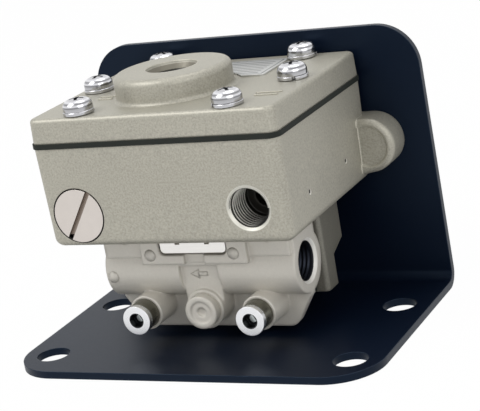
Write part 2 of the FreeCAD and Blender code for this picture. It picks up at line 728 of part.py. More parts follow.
def make_label_plate():
    width = LABEL_RIGHT_X - LABEL_LEFT_X
    x = (LABEL_RIGHT_X + LABEL_LEFT_X) / 2
    y = LABEL_FRONT_Y + LABEL_DEPTH / 2
    top = COVER_TOP_Z + LABEL_THICK
    plate = rounded_plate(width, LABEL_DEPTH, LABEL_CORNER_R, x, y, COVER_TOP_Z, top)
    notch_r = BOSS_R + LABEL_NOTCH_GAP + BOSS_FOOT_R
    plate = plate.cut(upright_cylinder(notch_r, BOSS_X, BOSS_Y, COVER_TOP_Z, top))
    back_screws = [place for place in cover_screw_places() if place[1] > HOUSING_Y]
    for screw_x, screw_y in back_screws:
        clear_r = M5_WASHER_R + SCREW_HOLE_GAP
        plate = plate.cut(upright_cylinder(clear_r, screw_x, screw_y, COVER_TOP_Z, top))
    return plate


def make_vent_filter():
    return upright_cylinder(FILTER_R - PRESS_GAP, BOSS_X, BOSS_Y, FILTER_Z, FILTER_Z + FILTER_THICK)


def make_slotted_plug():
    """The screwed plug with a screwdriver slot, flush in the front face."""
    y = front_face_y(PLUG_Z)
    head = level_cylinder(PLUG_R, PLUG_X, PLUG_Z, y, y + PLUG_THICK)
    neck_y = y + PLUG_THICK
    neck = level_cylinder(PLUG_NECK_R, PLUG_X, PLUG_Z, neck_y, neck_y + PLUG_NECK_LENGTH)
    slot = block(-PLUG_R, PLUG_R, 0, PLUG_SLOT_DEPTH, -PLUG_SLOT_WIDTH / 2, PLUG_SLOT_WIDTH / 2)
    turn = FreeCAD.Rotation(Y_AXIS, -PLUG_SLOT_DEG)
    slot.Placement = FreeCAD.Placement(point(PLUG_X, y, PLUG_Z), turn)
    return head.fuse(neck).cut(slot)


def make_plug_oring():
    y = front_face_y(PLUG_Z) + PLUG_THICK + PLUG_RING_SPACE / 2
    minor = (PLUG_RING_SPACE - 2 * SEAL_GAP) / 2
    major = PLUG_NECK_R + SEAL_GAP + minor
    return ring(major, minor, point(PLUG_X, y, PLUG_Z), Y_AXIS)


def make_timing_piston():
    """A turned piston with a ring groove and a recess for its spring."""
    middle = PISTON_HEIGHT / 2 - PISTON_RING_WIDTH
    outline = [
        (STEM_THREAD_R + THREAD_GAP, 0),
        (PISTON_R, 0),
        (PISTON_R, middle),
        (PISTON_R - PISTON_RING_DEPTH, middle),
        (PISTON_R - PISTON_RING_DEPTH, middle + PISTON_RING_WIDTH),
        (PISTON_R, middle + PISTON_RING_WIDTH),
        (PISTON_R, PISTON_HEIGHT),
        (PISTON_RECESS_R, PISTON_HEIGHT),
        (PISTON_RECESS_R, PISTON_HEIGHT - PISTON_RECESS_DEPTH),
        (STEM_THREAD_R + THREAD_GAP, PISTON_HEIGHT - PISTON_RECESS_DEPTH),
    ]
    return turned(outline, point(BOSS_X, BOSS_Y, PISTON_Z), Z_AXIS)


def make_piston_oring():
    groove_r = PISTON_R - PISTON_RING_DEPTH
    minor = (CYLINDER_R - groove_r) / 2 - SEAL_GAP
    z = PISTON_Z + (PISTON_HEIGHT - PISTON_RING_WIDTH) / 2
    return ring(groove_r + SEAL_GAP + minor, minor, point(BOSS_X, BOSS_Y, z), Z_AXIS)


def make_valve_stem():
    """The stem under the piston, with the poppet that closes the seat."""
    poppet_z = FLOOR_Z + SEAT_HEIGHT + POPPET_SEAL_THICK
    flange_z = PISTON_Z - STEM_FLANGE_THICK
    nut_top = PISTON_TOP_Z - PISTON_RECESS_DEPTH + NUT_HEIGHT
    outline = [
        (0, poppet_z),
        (POPPET_R, poppet_z),
        (POPPET_R, poppet_z + POPPET_THICK),
        (STEM_R, poppet_z + POPPET_THICK),
        (STEM_R, flange_z),
        (STEM_FLANGE_R, flange_z),
        (STEM_FLANGE_R, PISTON_Z),
        (STEM_THREAD_R, PISTON_Z),
        (STEM_THREAD_R, nut_top),
        (0, nut_top),
    ]
    return turned(outline, point(BOSS_X, BOSS_Y, 0), Z_AXIS)


def make_stem_nut():
    base = point(BOSS_X, BOSS_Y, PISTON_TOP_Z - PISTON_RECESS_DEPTH)
    nut = hexagon(NUT_FLATS, NUT_HEIGHT, base, Z_AXIS)
    return nut.cut(Part.makeCylinder(STEM_THREAD_R + THREAD_GAP, NUT_HEIGHT, base, Z_AXIS))


def make_poppet_seal():
    seat_z = FLOOR_Z + SEAT_HEIGHT
    return upright_cylinder(POPPET_R, BOSS_X, BOSS_Y, seat_z, seat_z + POPPET_SEAL_THICK)


def make_piston_spring():
    """A wire helix between the piston and the roof of the boss."""
    low = PISTON_TOP_Z - PISTON_RECESS_DEPTH + SPRING_WIRE_R + SEAL_GAP
    high = FILTER_Z - SPRING_WIRE_R - SEAL_GAP
    steps = round(SPRING_TURNS * SPRING_STEPS)
    path = []
    for step in range(steps + 1):
        angle = 2 * math.pi * step / SPRING_STEPS
        x = BOSS_X + SPRING_R * math.cos(angle)
        y = BOSS_Y + SPRING_R * math.sin(angle)
        path.append(point(x, y, low + (high - low) * step / steps))
    wire = Part.Circle(path[0], path[1] - path[0], SPRING_WIRE_R)
    corners = [wire.value(2 * math.pi * side / SPRING_SIDES) for side in range(SPRING_SIDES)]
    section = Part.makePolygon(corners + corners[:1])
    mitred = 1
    return Part.makePolygon(path).makePipeShell([section], True, False, mitred)


def make_block_gasket():
    """The sheet between the leg and the valve block."""
    half = MATE_WIDTH / 2
    sheet = block(-half, half, BLOCK_BACK_Y, LEG_FRONT_Y, MATE_BOTTOM_Z, BLOCK_TOP_Z)
    holes = [level_cylinder(DRILLING_R, BOSS_X, BARREL_Z, BLOCK_BACK_Y, LEG_FRONT_Y)]
    for x, z in block_screw_places():
        holes.append(level_cylinder(M4_R + SCREW_HOLE_GAP, x, z, BLOCK_BACK_Y, LEG_FRONT_Y))
    return without(sheet, holes)


def valve_block_blank():
    """The outside of the block: slab, bands, panel, barrel, web and bosses."""
    half = BLOCK_WIDTH / 2
    barrel = Part.makeCylinder(BARREL_R, BLOCK_WIDTH, point(-half, BARREL_Y, BARREL_Z), X_AXIS)
    slab = block(-half, half, BARREL_Y - SLAB_FRONT, BARREL_Y + SLAB_BACK, BARREL_Z, BLOCK_TOP_Z)
    band_half = half - BAND_INSET
    band_y = BARREL_Y - BAND_FRONT
    band = block(-band_half, band_half, band_y, BARREL_Y, BAND_BOTTOM_Z, BLOCK_TOP_Z)
    flat_half = CENTRE_FLAT_WIDTH / 2
    front = BARREL_Y - BARREL_R
    flat_y = BARREL_Y - CENTRE_FLAT_FRONT
    flat_cut = block(-flat_half, flat_half, front, flat_y, CENTRE_PLUG_Z, CENTRE_FLAT_TOP_Z)
    body = fused([barrel, slab, band]).cut(flat_cut)
    panel_half = PANEL_WIDTH / 2
    panel = block(-panel_half, panel_half, PANEL_Y, BARREL_Y, PANEL_BOTTOM_Z, BLOCK_TOP_Z)
    mate_half = MATE_WIDTH / 2
    mate_y = BLOCK_BACK_Y - MATE_DEPTH
    mate = block(-mate_half, mate_half, mate_y, BLOCK_BACK_Y, MATE_BOTTOM_Z, BLOCK_TOP_Z)
    web_y = BARREL_Y - WEB_FRONT
    web_half = WEB_BOTTOM_WIDTH / 2
    web_outline = [
        (-half, BARREL_Z),
        (-half, WEB_SHOULDER_Z),
        (-web_half, WEB_BOTTOM_Z),
        (web_half, WEB_BOTTOM_Z),
        (half, WEB_SHOULDER_Z),
        (half, BARREL_Z),
    ]
    web = prism_y(web_outline, web_y, web_y + WEB_THICK)
    low_corners = [edge for edge in edges_along(web, Y_AXIS) if edge.Vertexes[0].Z < WEB_BOTTOM_Z + NEAR]
    web = web.makeFillet(WEB_CORNER_R, low_corners)
    neck = block(
        -CENTRE_BOSS_R, CENTRE_BOSS_R, flat_y, BARREL_Y + NEEDLE_BOSS_BACK, CENTRE_PLUG_Z, BARREL_Z
    )
    parts = [body, panel, mate, web, neck]
    boss_y = BARREL_Y - NEEDLE_BOSS_FRONT
    for side in (-1, 1):
        boss_end = BARREL_Y + NEEDLE_BOSS_BACK
        parts.append(level_cylinder(NEEDLE_BOSS_R, side * NEEDLE_X, NEEDLE_Z, boss_y, boss_end))
    centre_end = BARREL_Y + NEEDLE_BOSS_BACK
    parts.append(level_cylinder(CENTRE_BOSS_R, 0, CENTRE_PLUG_Z, CENTRE_FACE_Y, centre_end))
    return fused(parts)


def plate_recess():
    """The recess for the steel plate and the pocket under it."""
    half = PLATE_WIDTH / 2 + PLATE_RECESS_GAP
    low = PLATE_BOTTOM_Z - PLATE_RECESS_GAP
    recess = block(-half, half, PANEL_Y, PANEL_Y + PLATE_RECESS_DEPTH, low, BLOCK_TOP_Z)
    corners = [edge for edge in edges_along(recess, Y_AXIS) if edge.Vertexes[0].Z < low + NEAR]
    recess = recess.makeFillet(PLATE_CORNER_R + PLATE_RECESS_GAP, corners)
    pocket_half = POCKET_WIDTH / 2
    pocket = block(
        -pocket_half, pocket_half, PANEL_Y, PANEL_Y + POCKET_DEPTH, PANEL_BOTTOM_Z, PLATE_BOTTOM_Z
    )
    return recess.fuse(pocket)


def valve_block_drillings():
    """Right port, gallery, needle bores, check valve bore and screw holes."""
    cuts = []
    half = BLOCK_WIDTH / 2
    chamfer = PORT_CHAMFER_R - PORT_R
    into = point(-1, 0, 0)
    mouth = point(half, BARREL_Y, BARREL_Z)
    cuts.append(Part.makeCylinder(PORT_R, PORT_DEPTH, mouth, into))
    cuts.append(Part.makeCone(PORT_CHAMFER_R, PORT_R, chamfer, mouth, into))
    cuts.append(Part.makeCylinder(GALLERY_R, half + NEEDLE_X + LINK_R, mouth, into))
    link_y = BARREL_Y + LINK_BACK
    for side in (-1, 1):
        x = side * NEEDLE_X
        chamber_y = VALVE_SEAT_Y - SEAT_CHAMBER_LENGTH
        bore_r = NEEDLE_BODY_R + RUNNING_GAP
        cuts.append(level_cylinder(bore_r, x, NEEDLE_Z, BARREL_Y - NEEDLE_BOSS_FRONT, chamber_y))
        cuts.append(level_cylinder(SEAT_CHAMBER_R, x, NEEDLE_Z, chamber_y, VALVE_SEAT_Y))
        orifice_end = VALVE_SEAT_Y + ORIFICE_LENGTH
        cuts.append(level_cylinder(ORIFICE_R, x, NEEDLE_Z, VALVE_SEAT_Y, orifice_end))
        cuts.append(upright_cylinder(LINK_R, x, link_y, NEEDLE_Z, BARREL_Z))
    z = CENTRE_PLUG_Z
    shank_end = CENTRE_FACE_Y + CENTRE_PLUG_SHANK
    ring_r = CENTRE_PLUG_SHANK_R + 2 * CENTRE_RING_R + 2 * SEAL_GAP
    ring_depth = 2 * CENTRE_RING_R + SEAL_GAP
    cuts.append(level_cylinder(ring_r, 0, z, CENTRE_FACE_Y, CENTRE_FACE_Y + ring_depth))
    cuts.append(level_cylinder(CENTRE_PLUG_SHANK_R + THREAD_GAP, 0, z, CENTRE_FACE_Y, shank_end))
    cuts.append(level_cylinder(BALL_R + BALL_GAP, 0, z, shank_end, VALVE_SEAT_Y))
    cuts.append(level_cylinder(BALL_SEAT_R, 0, z, VALVE_SEAT_Y, link_y))
    cuts.append(upright_cylinder(LINK_R, 0, link_y, z, BARREL_Z))
    cuts.append(level_cylinder(DRILLING_R, BOSS_X, BARREL_Z, BARREL_Y, BLOCK_BACK_Y))
    for x, screw_z in block_screw_places():
        tip = block_screw_tip(screw_z) - BLIND_GAP / 2
        cuts.append(level_cylinder(M4_R + THREAD_GAP, x, screw_z, tip, BLOCK_BACK_Y))
    for side in (-1, 1):
        band_y = BARREL_Y - BAND_FRONT
        depth_y = band_y + LOCATING_DEPTH
        cuts.append(level_cylinder(LOCATING_R, side * LOCATING_X, LOCATING_Z, band_y, depth_y))
    return cuts


def make_valve_block():
    body = valve_block_blank().cut(plate_recess())
    return without(body, valve_block_drillings())


def make_steel_plate():
    """The bright plate that lies in the recess of the panel."""
    half = PLATE_WIDTH / 2
    back = PANEL_Y + PLATE_RECESS_DEPTH
    top = BLOCK_TOP_Z - PLATE_TOP_GAP
    plate = block(-half, half, back - PLATE_THICK, back, PLATE_BOTTOM_Z, top)
    corners = [edge for edge in edges_along(plate, Y_AXIS) if edge.Vertexes[0].Z < PLATE_BOTTOM_Z + NEAR]
    plate = plate.makeFillet(PLATE_CORNER_R, corners)
    for side in (-1, 1):
        left = side * PLATE_NOTCH_X - PLATE_NOTCH_WIDTH / 2
        right = left + PLATE_NOTCH_WIDTH
        plate = plate.cut(block(left, right, back - PLATE_THICK, back, PLATE_NOTCH_Z, top))
    return plate


def block_screw_tip(z):
    """Y of the end of a valve block screw whose head lies on the leg."""
    back = LEG_BACK_Y if z > LEG_STEP_Z else LEG_FRONT_Y + LEG_FOOT_THICK
    length = BLOCK_SCREW_LENGTH if z > LEG_STEP_Z else BLOCK_SCREW_LENGTH - LEG_FOOT_THICK
    return back + M4_WASHER_THICK - length


def make_block_screws():
    screws = []
    for x, z in block_screw_places():
        back = LEG_BACK_Y if z > LEG_STEP_Z else LEG_FRONT_Y + LEG_FOOT_THICK
        base = point(x, back + M4_WASHER_THICK, z)
        length = base.y - block_screw_tip(z)
        screws.append(pan_screw(M4_R, length, M4_HEAD_R, M4_HEAD_HEIGHT, base, Y_AXIS))
    return Part.makeCompound(screws)


def make_block_spring_washers():
    washers = []
    for x, z in block_screw_places():
        back = LEG_BACK_Y if z > LEG_STEP_Z else LEG_FRONT_Y + LEG_FOOT_THICK
        hole_r = M4_R + SCREW_HOLE_GAP
        base = point(x, back, z)
        washers.append(spring_washer(hole_r, M4_WASHER_R, M4_WASHER_THICK, base, Y_AXIS))
    return Part.makeCompound(washers)


def make_needle(x):
    """One adjuster: socket head, slit, threaded body, ring groove and tapered tip."""
    body_y = NEEDLE_HEAD_THICK + NEEDLE_SLIT
    groove_y = body_y + NEEDLE_BODY_LENGTH
    shoulder_y = groove_y + NEEDLE_GROOVE_WIDTH
    closing = VALVE_SEAT_Y - NEEDLE_SCREW_IN - NEEDLE_FACE_Y
    closing_r = ORIFICE_R - ORIFICE_GAP
    cone_start = closing - NEEDLE_CONE_ABOVE
    cone_end = closing + NEEDLE_SCREW_IN + NEEDLE_CONE_BELOW
    stem_r = closing_r + NEEDLE_TAPER * NEEDLE_CONE_ABOVE
    tip_r = closing_r - NEEDLE_TAPER * (NEEDLE_SCREW_IN + NEEDLE_CONE_BELOW)
    outline = [
        (0, 0),
        (NEEDLE_HEAD_R, 0),
        (NEEDLE_HEAD_R, NEEDLE_HEAD_THICK),
        (NEEDLE_SLIT_R, NEEDLE_HEAD_THICK),
        (NEEDLE_SLIT_R, body_y),
        (NEEDLE_BODY_R, body_y),
        (NEEDLE_BODY_R, groove_y),
        (NEEDLE_GROOVE_R, groove_y),
        (NEEDLE_GROOVE_R, shoulder_y),
        (NEEDLE_SHOULDER_R, shoulder_y),
        (NEEDLE_SHOULDER_R, shoulder_y + NEEDLE_SHOULDER),
        (stem_r, shoulder_y + NEEDLE_SHOULDER),
        (stem_r, cone_start),
        (tip_r, cone_end),
        (0, cone_end),
    ]
    base = point(x, NEEDLE_FACE_Y, NEEDLE_Z)
    socket = hexagon(NEEDLE_SOCKET_FLATS, NEEDLE_SOCKET_DEPTH, base, Y_AXIS)
    return turned(outline, base, Y_AXIS).cut(socket)


def make_needle_oring(x):
    groove_start = NEEDLE_HEAD_THICK + NEEDLE_SLIT + NEEDLE_BODY_LENGTH
    y = NEEDLE_FACE_Y + groove_start + NEEDLE_GROOVE_WIDTH / 2
    minor = (NEEDLE_BODY_R + RUNNING_GAP - NEEDLE_GROOVE_R) / 2 - SEAL_GAP
    return ring(NEEDLE_GROOVE_R + SEAL_GAP + minor, minor, point(x, y, NEEDLE_Z), Y_AXIS)


def make_centre_plug():
    """The plug over the check valve, with a dished face."""
    face_y = CENTRE_FACE_Y - CENTRE_PLUG_HEAD
    head = level_cylinder(CENTRE_PLUG_R, 0, CENTRE_PLUG_Z, face_y, CENTRE_FACE_Y)
    shank_end = CENTRE_FACE_Y + CENTRE_PLUG_SHANK
    shank = level_cylinder(CENTRE_PLUG_SHANK_R, 0, CENTRE_PLUG_Z, CENTRE_FACE_Y, shank_end)
    dish_y = face_y + CENTRE_PLUG_DISH
    dish = level_cylinder(CENTRE_PLUG_DISH_R, 0, CENTRE_PLUG_Z, face_y, dish_y)
    dimple = level_cylinder(
        CENTRE_PLUG_DIMPLE_R, 0, CENTRE_PLUG_Z, dish_y, dish_y + CENTRE_PLUG_DIMPLE
    )
    return head.fuse(shank).cut(dish).cut(dimple)


def make_centre_plug_oring():
    y = CENTRE_FACE_Y + CENTRE_RING_R + SEAL_GAP / 2
    major = CENTRE_PLUG_SHANK_R + SEAL_GAP + CENTRE_RING_R
    return ring(major, CENTRE_RING_R, point(0, y, CENTRE_PLUG_Z), Y_AXIS)


def make_check_ball():
    seat_distance = math.sqrt(BALL_R**2 - BALL_SEAT_R**2) + BALL_REST_GAP
    return Part.makeSphere(BALL_R, point(0, VALVE_SEAT_Y - seat_distance, CENTRE_PLUG_Z))


def make_bracket_screws():
    y = UPRIGHT_Y + SHEET + M5_WASHER_THICK
    length = BRACKET_SCREW_LENGTH
    screws = []
    for x, z in bracket_screw_places():
        screws.append(pan_screw(M5_R, length, M5_HEAD_R, M5_HEAD_HEIGHT, point(x, y, z), Y_AXIS))
    return Part.makeCompound(screws)


def make_bracket_spring_washers():
    washers = []
    for x, z in bracket_screw_places():
        base = point(x, UPRIGHT_Y + SHEET, z)
        hole_r = M5_R + SCREW_HOLE_GAP
        washers.append(spring_washer(hole_r, M5_WASHER_R, M5_WASHER_THICK, base, Y_AXIS))
    return Part.makeCompound(washers)


NODES = {
    "bracket": make_bracket(),
    "housing": make_housing(),
    "cover_gasket": make_cover_gasket(),
    "cover": make_cover(),
    "cover_screws": make_cover_screws(),
    "cover_spring_washers": make_cover_spring_washers(),
    "label_plate": make_label_plate(),
    "vent_filter": make_vent_filter(),
    "slotted_plug": make_slotted_plug(),
    "slotted_plug_oring": make_plug_oring(),
    "timing_piston": make_timing_piston(),
    "piston_oring": make_piston_oring(),
    "valve_stem": make_valve_stem(),
    "stem_nut": make_stem_nut(),
    "poppet_seal": make_poppet_seal(),
    "piston_spring": make_piston_spring(),
    "block_gasket": make_block_gasket(),
    "valve_block": make_valve_block(),
    "steel_plate": make_steel_plate(),
    "block_screws": make_block_screws(),
    "block_spring_washers": make_block_spring_washers(),
    "needle_left": make_needle(-NEEDLE_X),
    "needle_right": make_needle(NEEDLE_X),
    "needle_left_oring": make_needle_oring(-NEEDLE_X),
    "needle_right_oring": make_needle_oring(NEEDLE_X),
    "centre_plug": make_centre_plug(),
    "centre_plug_oring": make_centre_plug_oring(),
    "check_ball": make_check_ball(),
    "bracket_screws": make_bracket_screws(),
    "bracket_spring_washers": make_bracket_spring_washers(),
}

for name, shape in NODES.items():
    shape.exportStep("parts/" + name + ".step")
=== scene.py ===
import json
import math

import bmesh
import bpy
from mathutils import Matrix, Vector


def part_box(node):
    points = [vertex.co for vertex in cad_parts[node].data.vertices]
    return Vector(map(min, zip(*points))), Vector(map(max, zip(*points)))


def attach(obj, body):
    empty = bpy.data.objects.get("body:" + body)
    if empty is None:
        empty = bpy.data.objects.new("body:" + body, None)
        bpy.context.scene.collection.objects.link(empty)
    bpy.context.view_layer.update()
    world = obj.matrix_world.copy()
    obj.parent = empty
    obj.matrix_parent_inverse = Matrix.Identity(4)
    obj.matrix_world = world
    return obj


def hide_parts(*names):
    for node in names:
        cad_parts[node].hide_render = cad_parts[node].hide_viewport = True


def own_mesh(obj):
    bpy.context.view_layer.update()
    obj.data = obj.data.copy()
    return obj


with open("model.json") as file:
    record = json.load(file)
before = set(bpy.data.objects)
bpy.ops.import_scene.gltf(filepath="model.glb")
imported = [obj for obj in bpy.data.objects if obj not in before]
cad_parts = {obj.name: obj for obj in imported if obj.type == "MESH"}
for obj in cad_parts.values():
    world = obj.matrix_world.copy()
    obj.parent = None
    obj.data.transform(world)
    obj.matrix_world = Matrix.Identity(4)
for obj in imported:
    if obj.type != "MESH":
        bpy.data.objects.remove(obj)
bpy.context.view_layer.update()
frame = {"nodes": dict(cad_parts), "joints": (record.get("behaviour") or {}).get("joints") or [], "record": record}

# Looks of the pneumatic delay valve on its bracket. Lengths are in metres, as in the frame,
# and MM turns those that are written in millimetres into metres.
MM = 0.001
nodes = frame["nodes"]
joints = {joint["name"]: joint for joint in frame["joints"]}
mounts = {mount["name"]: Vector(mount["pos_m"]) for mount in frame["record"]["mounts"]}


def middle(node):
    """The centre of a CAD node's box."""
    low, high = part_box(node)
    return (low + high) / 2


# Places that the finishes and the added pieces share
COVER_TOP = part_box("cover_spring_washers")[0].z
BOSS = middle("vent_filter")
VENT = Vector((BOSS.x, BOSS.y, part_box("cover")[1].z))
LABEL_CENTRE = middle("label_plate")
LEG_TOP = 37.9 * MM
FRONT_PORT = Vector((mounts["front_port"].x, -22.95 * MM, mounts["front_port"].z))
SIDE_PORT = Vector((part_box("valve_block")[1].x, mounts["side_port"].y, mounts["side_port"].z))
PLUG = Vector((-29.4, -22.93, 48.0)) * MM
DIMPLES = [Vector((39.24, -7.1, 48.3)) * MM, Vector((39.24, 21.5, 48.7)) * MM]
NEEDLES = [Vector(joints[f"{side}_needle_turn"]["pos_m"]) for side in ("left", "right")]

# Quarter-inch pipe thread of both ports, 19 turns to the inch, drawn as a ridge
PORT_R = 5.93 * MM
PIPE_PITCH = 1.337 * MM
THREAD_HEIGHT = 0.42 * MM
THREAD_TURNS = 7
THREAD_START = 1.3 * MM
SIDE_THREAD_DEPTH = 10.8 * MM

# Seats of the fasteners, in millimetres: (x, y) on the cover, (x, z) on the upright walls.
# Those on the cover lie three on each side of the housing's middle.
HOUSING_X = -0.75
COVER_SIDE = [(24.5, -18.1), (33.0, 9.2), (24.5, 36.5)]
COVER_SEATS = [(side * x + HOUSING_X, y) for side in (-1, 1) for x, y in COVER_SIDE]
BRACKET_SEATS = [(-42.0, 49.5), (42.0, 49.5), (0.0, 60.0)]
BLOCK_SEATS = [(-16.0, 33.2), (16.0, 33.2)]
FOOT_SEATS = [(-10.0, 15.0), (10.0, 15.0)]
UPRIGHT_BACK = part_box("bracket")[1].y
BLOCK_SEAT_Y = 27.5 * MM
FOOT_SEAT_Y = 19.5 * MM


# Small helpers for shading
def feed(tree, socket, value):
    """Gives an input a plain value, or the output that feeds it."""
    if isinstance(value, bpy.types.NodeSocket):
        tree.links.new(value, socket)
    elif value is not None:
        socket.default_value = value


def add(tree, kind, inputs=None, **settings):
    """Adds one node, with its settings and what goes into its inputs."""
    made = tree.nodes.new(kind)
    for name, value in settings.items():
        setattr(made, name, value)
    for name, value in (inputs or {}).items():
        feed(tree, made.inputs[name], value)
    return made


def group(name, takes, gives):
    """A node group with named sockets: {name: (kind, default)} and {name: kind}."""
    tree = bpy.data.node_groups.new(name, "ShaderNodeTree")
    for socket, (kind, value) in takes.items():
        made = tree.interface.new_socket(socket, in_out="INPUT", socket_type="NodeSocket" + kind)
        made.default_value = value
    for socket, kind in gives.items():
        tree.interface.new_socket(socket, in_out="OUTPUT", socket_type="NodeSocket" + kind)
    return tree, tree.nodes.new("NodeGroupInput"), tree.nodes.new("NodeGroupOutput")


def maths(tree, operation, first, second=None, third=None):
    """One arithmetic step, and its output."""
    return add(tree, "ShaderNodeMath", {0: first, 1: second, 2: third}, operation=operation).outputs[0]


def vector_maths(tree, operation, first, second=None):
    """One step with vectors, and its outputs."""
    return add(tree, "ShaderNodeVectorMath", {0: first, 1: second}, operation=operation).outputs


def mix_colour(tree, share, first, second, blend="MIX"):
    """Two colours mixed. The colour sockets of the node are those numbered 6 and 7, and 2 at its end."""
    made = add(tree, "ShaderNodeMix", {0: share, 6: first, 7: second}, data_type="RGBA", blend_type=blend)
    return made.outputs[2]


def toned(tree, colour, tone):
    """A colour made lighter or darker by a tone round 1."""
    shade = add(tree, "ShaderNodeCombineColor", {"Red": tone, "Green": tone, "Blue": tone})
    return mix_colour(tree, 1.0, colour, shade.outputs[0], "MULTIPLY")


def object_place(tree):
    return add(tree, "ShaderNodeTexCoord").outputs["Object"]


def object_axes(tree):
    """The X, Y and Z of a place on the piece."""
    return add(tree, "ShaderNodeSeparateXYZ", {"Vector": object_place(tree)}).outputs


def all_of(tree, *masks):
    """Where every one of the masks holds."""
    held = masks[0]
    for mask in masks[1:]:
        held = maths(tree, "MULTIPLY", held, mask)
    return held


def grey(value):
    return (value, value, value, 1.0)


def written(red, green, blue):
    """A colour given in screen values, 0 to 255."""
    linear = []
    for value in (red, green, blue):
        share = value / 255
        linear.append(share / 12.92 if share < 0.04045 else ((share + 0.055) / 1.055) ** 2.4)
    return (*linear, 1.0)


# Effects that several finishes share
def cast_grain_group():
    """Fine blasted grain, with slow cloudy changes of tone. The grain size is in millimetres."""
    cloud_scale, cloud_swing = 45.0, 0.14
    spot_spread, spot_height, rough_swing = 0.45, 0.4, 0.5
    takes = {
        "Colour": ("Color", grey(0.5)),
        "Grain size": ("Float", 0.5),
        "Speckle": ("Float", 0.3),
        "Roughness": ("Float", 0.5),
    }
    gives = {"Colour": "Color", "Roughness": "Float", "Height": "Float"}
    tree, start, end = group("cast_grain", takes, gives)
    place = object_place(tree)
    density = maths(tree, "DIVIDE", 1.0 / MM, start.outputs["Grain size"])
    spread = maths(tree, "MULTIPLY", density, spot_spread)
    fine = add(
        tree, "ShaderNodeTexNoise", {"Vector": place, "Scale": density, "Detail": 3.0, "Roughness": 0.6}
    )
    cloud = add(tree, "ShaderNodeTexNoise", {"Vector": place, "Scale": cloud_scale, "Detail": 3.0})
    spots = add(tree, "ShaderNodeTexVoronoi", {"Vector": place, "Scale": spread})
    swing = maths(tree, "SUBTRACT", fine.outputs[0], 0.5)
    swing = maths(tree, "MULTIPLY", swing, start.outputs["Speckle"])
    slow = maths(tree, "MULTIPLY", maths(tree, "SUBTRACT", cloud.outputs[0], 0.5), cloud_swing)
    tone = maths(tree, "ADD", maths(tree, "ADD", swing, slow), 1.0)
    rough = maths(tree, "MULTIPLY_ADD", swing, rough_swing, start.outputs["Roughness"])
    height = maths(tree, "MULTIPLY_ADD", spots.outputs["Distance"], spot_height, fine.outputs[0])
    feed(tree, end.inputs["Colour"], toned(tree, start.outputs["Colour"], tone))
    feed(tree, end.inputs["Roughness"], rough)
    feed(tree, end.inputs["Height"], height)
    return tree


def soft_edge_group():
    """The rounding that every cast, rolled or turned edge has, and a mask of it."""
    mask_gain = 3.0
    takes = {"Radius": ("Float", 0.5 * MM)}
    tree, start, end = group("soft_edge", takes, {"Normal": "Vector", "Edge": "Float"})
    rounded = add(tree, "ShaderNodeBevel", {"Radius": start.outputs["Radius"]}, samples=8).outputs[0]
    flat = add(tree, "ShaderNodeNewGeometry").outputs["Normal"]
    agree = vector_maths(tree, "DOT_PRODUCT", rounded, flat)["Value"]
    edge = maths(tree, "MULTIPLY", maths(tree, "SUBTRACT", 1.0, agree), mask_gain)
    feed(tree, end.inputs["Normal"], rounded)
    feed(tree, end.inputs["Edge"], add(tree, "ShaderNodeClamp", {"Value": edge}).outputs[0])
    return tree


def tool_marks_group():
    """Fine parallel marks of turning or rolling, along one direction."""
    takes = {"Stretch": ("Vector", (1.0, 1.0, 1.0)), "Strength": ("Float", 0.5)}
    tree, start, end = group("tool_marks", takes, {"Mask": "Float", "Height": "Float"})
    stretched = vector_maths(tree, "MULTIPLY", object_place(tree), start.outputs["Stretch"])[0]
    marks = add(tree, "ShaderNodeTexNoise", {"Vector": stretched, "Scale": 900.0, "Detail": 4.0}).outputs[0]
    mask = maths(tree, "MULTIPLY", maths(tree, "SUBTRACT", marks, 0.5), start.outputs["Strength"])
    feed(tree, end.inputs["Mask"], mask)
    feed(tree, end.inputs["Height"], marks)
    return tree


def round_bore_group():
    """A mask of what lies inside a round bore: near its axis, and within reach of its mouth."""
    takes = {
        "Mouth": ("Vector", (0.0, 0.0, 0.0)),
        "Across": ("Vector", (1.0, 1.0, 1.0)),
        "Radius": ("Float", 5.0 * MM),
        "Reach": ("Float", 10.0 * MM),
    }
    tree, start, end = group("round_bore", takes, {"Mask": "Float"})
    away = vector_maths(tree, "SUBTRACT", object_place(tree), start.outputs["Mouth"])[0]
    from_axis = vector_maths(tree, "MULTIPLY", away, start.outputs["Across"])[0]
    far = vector_maths(tree, "LENGTH", away)["Value"]
    wide = vector_maths(tree, "LENGTH", from_axis)["Value"]
    near = maths(tree, "LESS_THAN", far, start.outputs["Reach"])
    inner = maths(tree, "LESS_THAN", wide, start.outputs["Radius"])
    feed(tree, end.inputs["Mask"], all_of(tree, near, inner))
    return tree


cast_grain = cast_grain_group()
soft_edge = soft_edge_group()
tool_marks = tool_marks_group()
round_bore = round_bore_group()


def new_material(name):
    material = bpy.data.materials.new(name)
    material.use_nodes = True
    tree = material.node_tree
    return material, tree, tree.nodes["Principled BSDF"]


def placed(tree, shared, **values):
    """A shared effect placed in a material with its own values."""
    made = add(tree, "ShaderNodeGroup", node_tree=shared)
    for name, value in values.items():
        made.inputs[name.replace("_", " ")].default_value = value
    return made.outputs


def relief(tree, surface, height, strength, depth, normal=None):
    """Raises fine marks on a surface."""
    inputs = {"Strength": strength, "Distance": depth, "Height": height, "Normal": normal}
    feed(tree, surface.inputs["Normal"], add(tree, "ShaderNodeBump", inputs).outputs[0])


def lay_over(material, share, colour):
    """Lays a colour over the one that a material has, where the share says."""
    tree = material.node_tree
    base = tree.nodes["Principled BSDF"].inputs["Base Color"]
    feed(tree, base, mix_colour(tree, share, base.links[0].from_socket, colour))


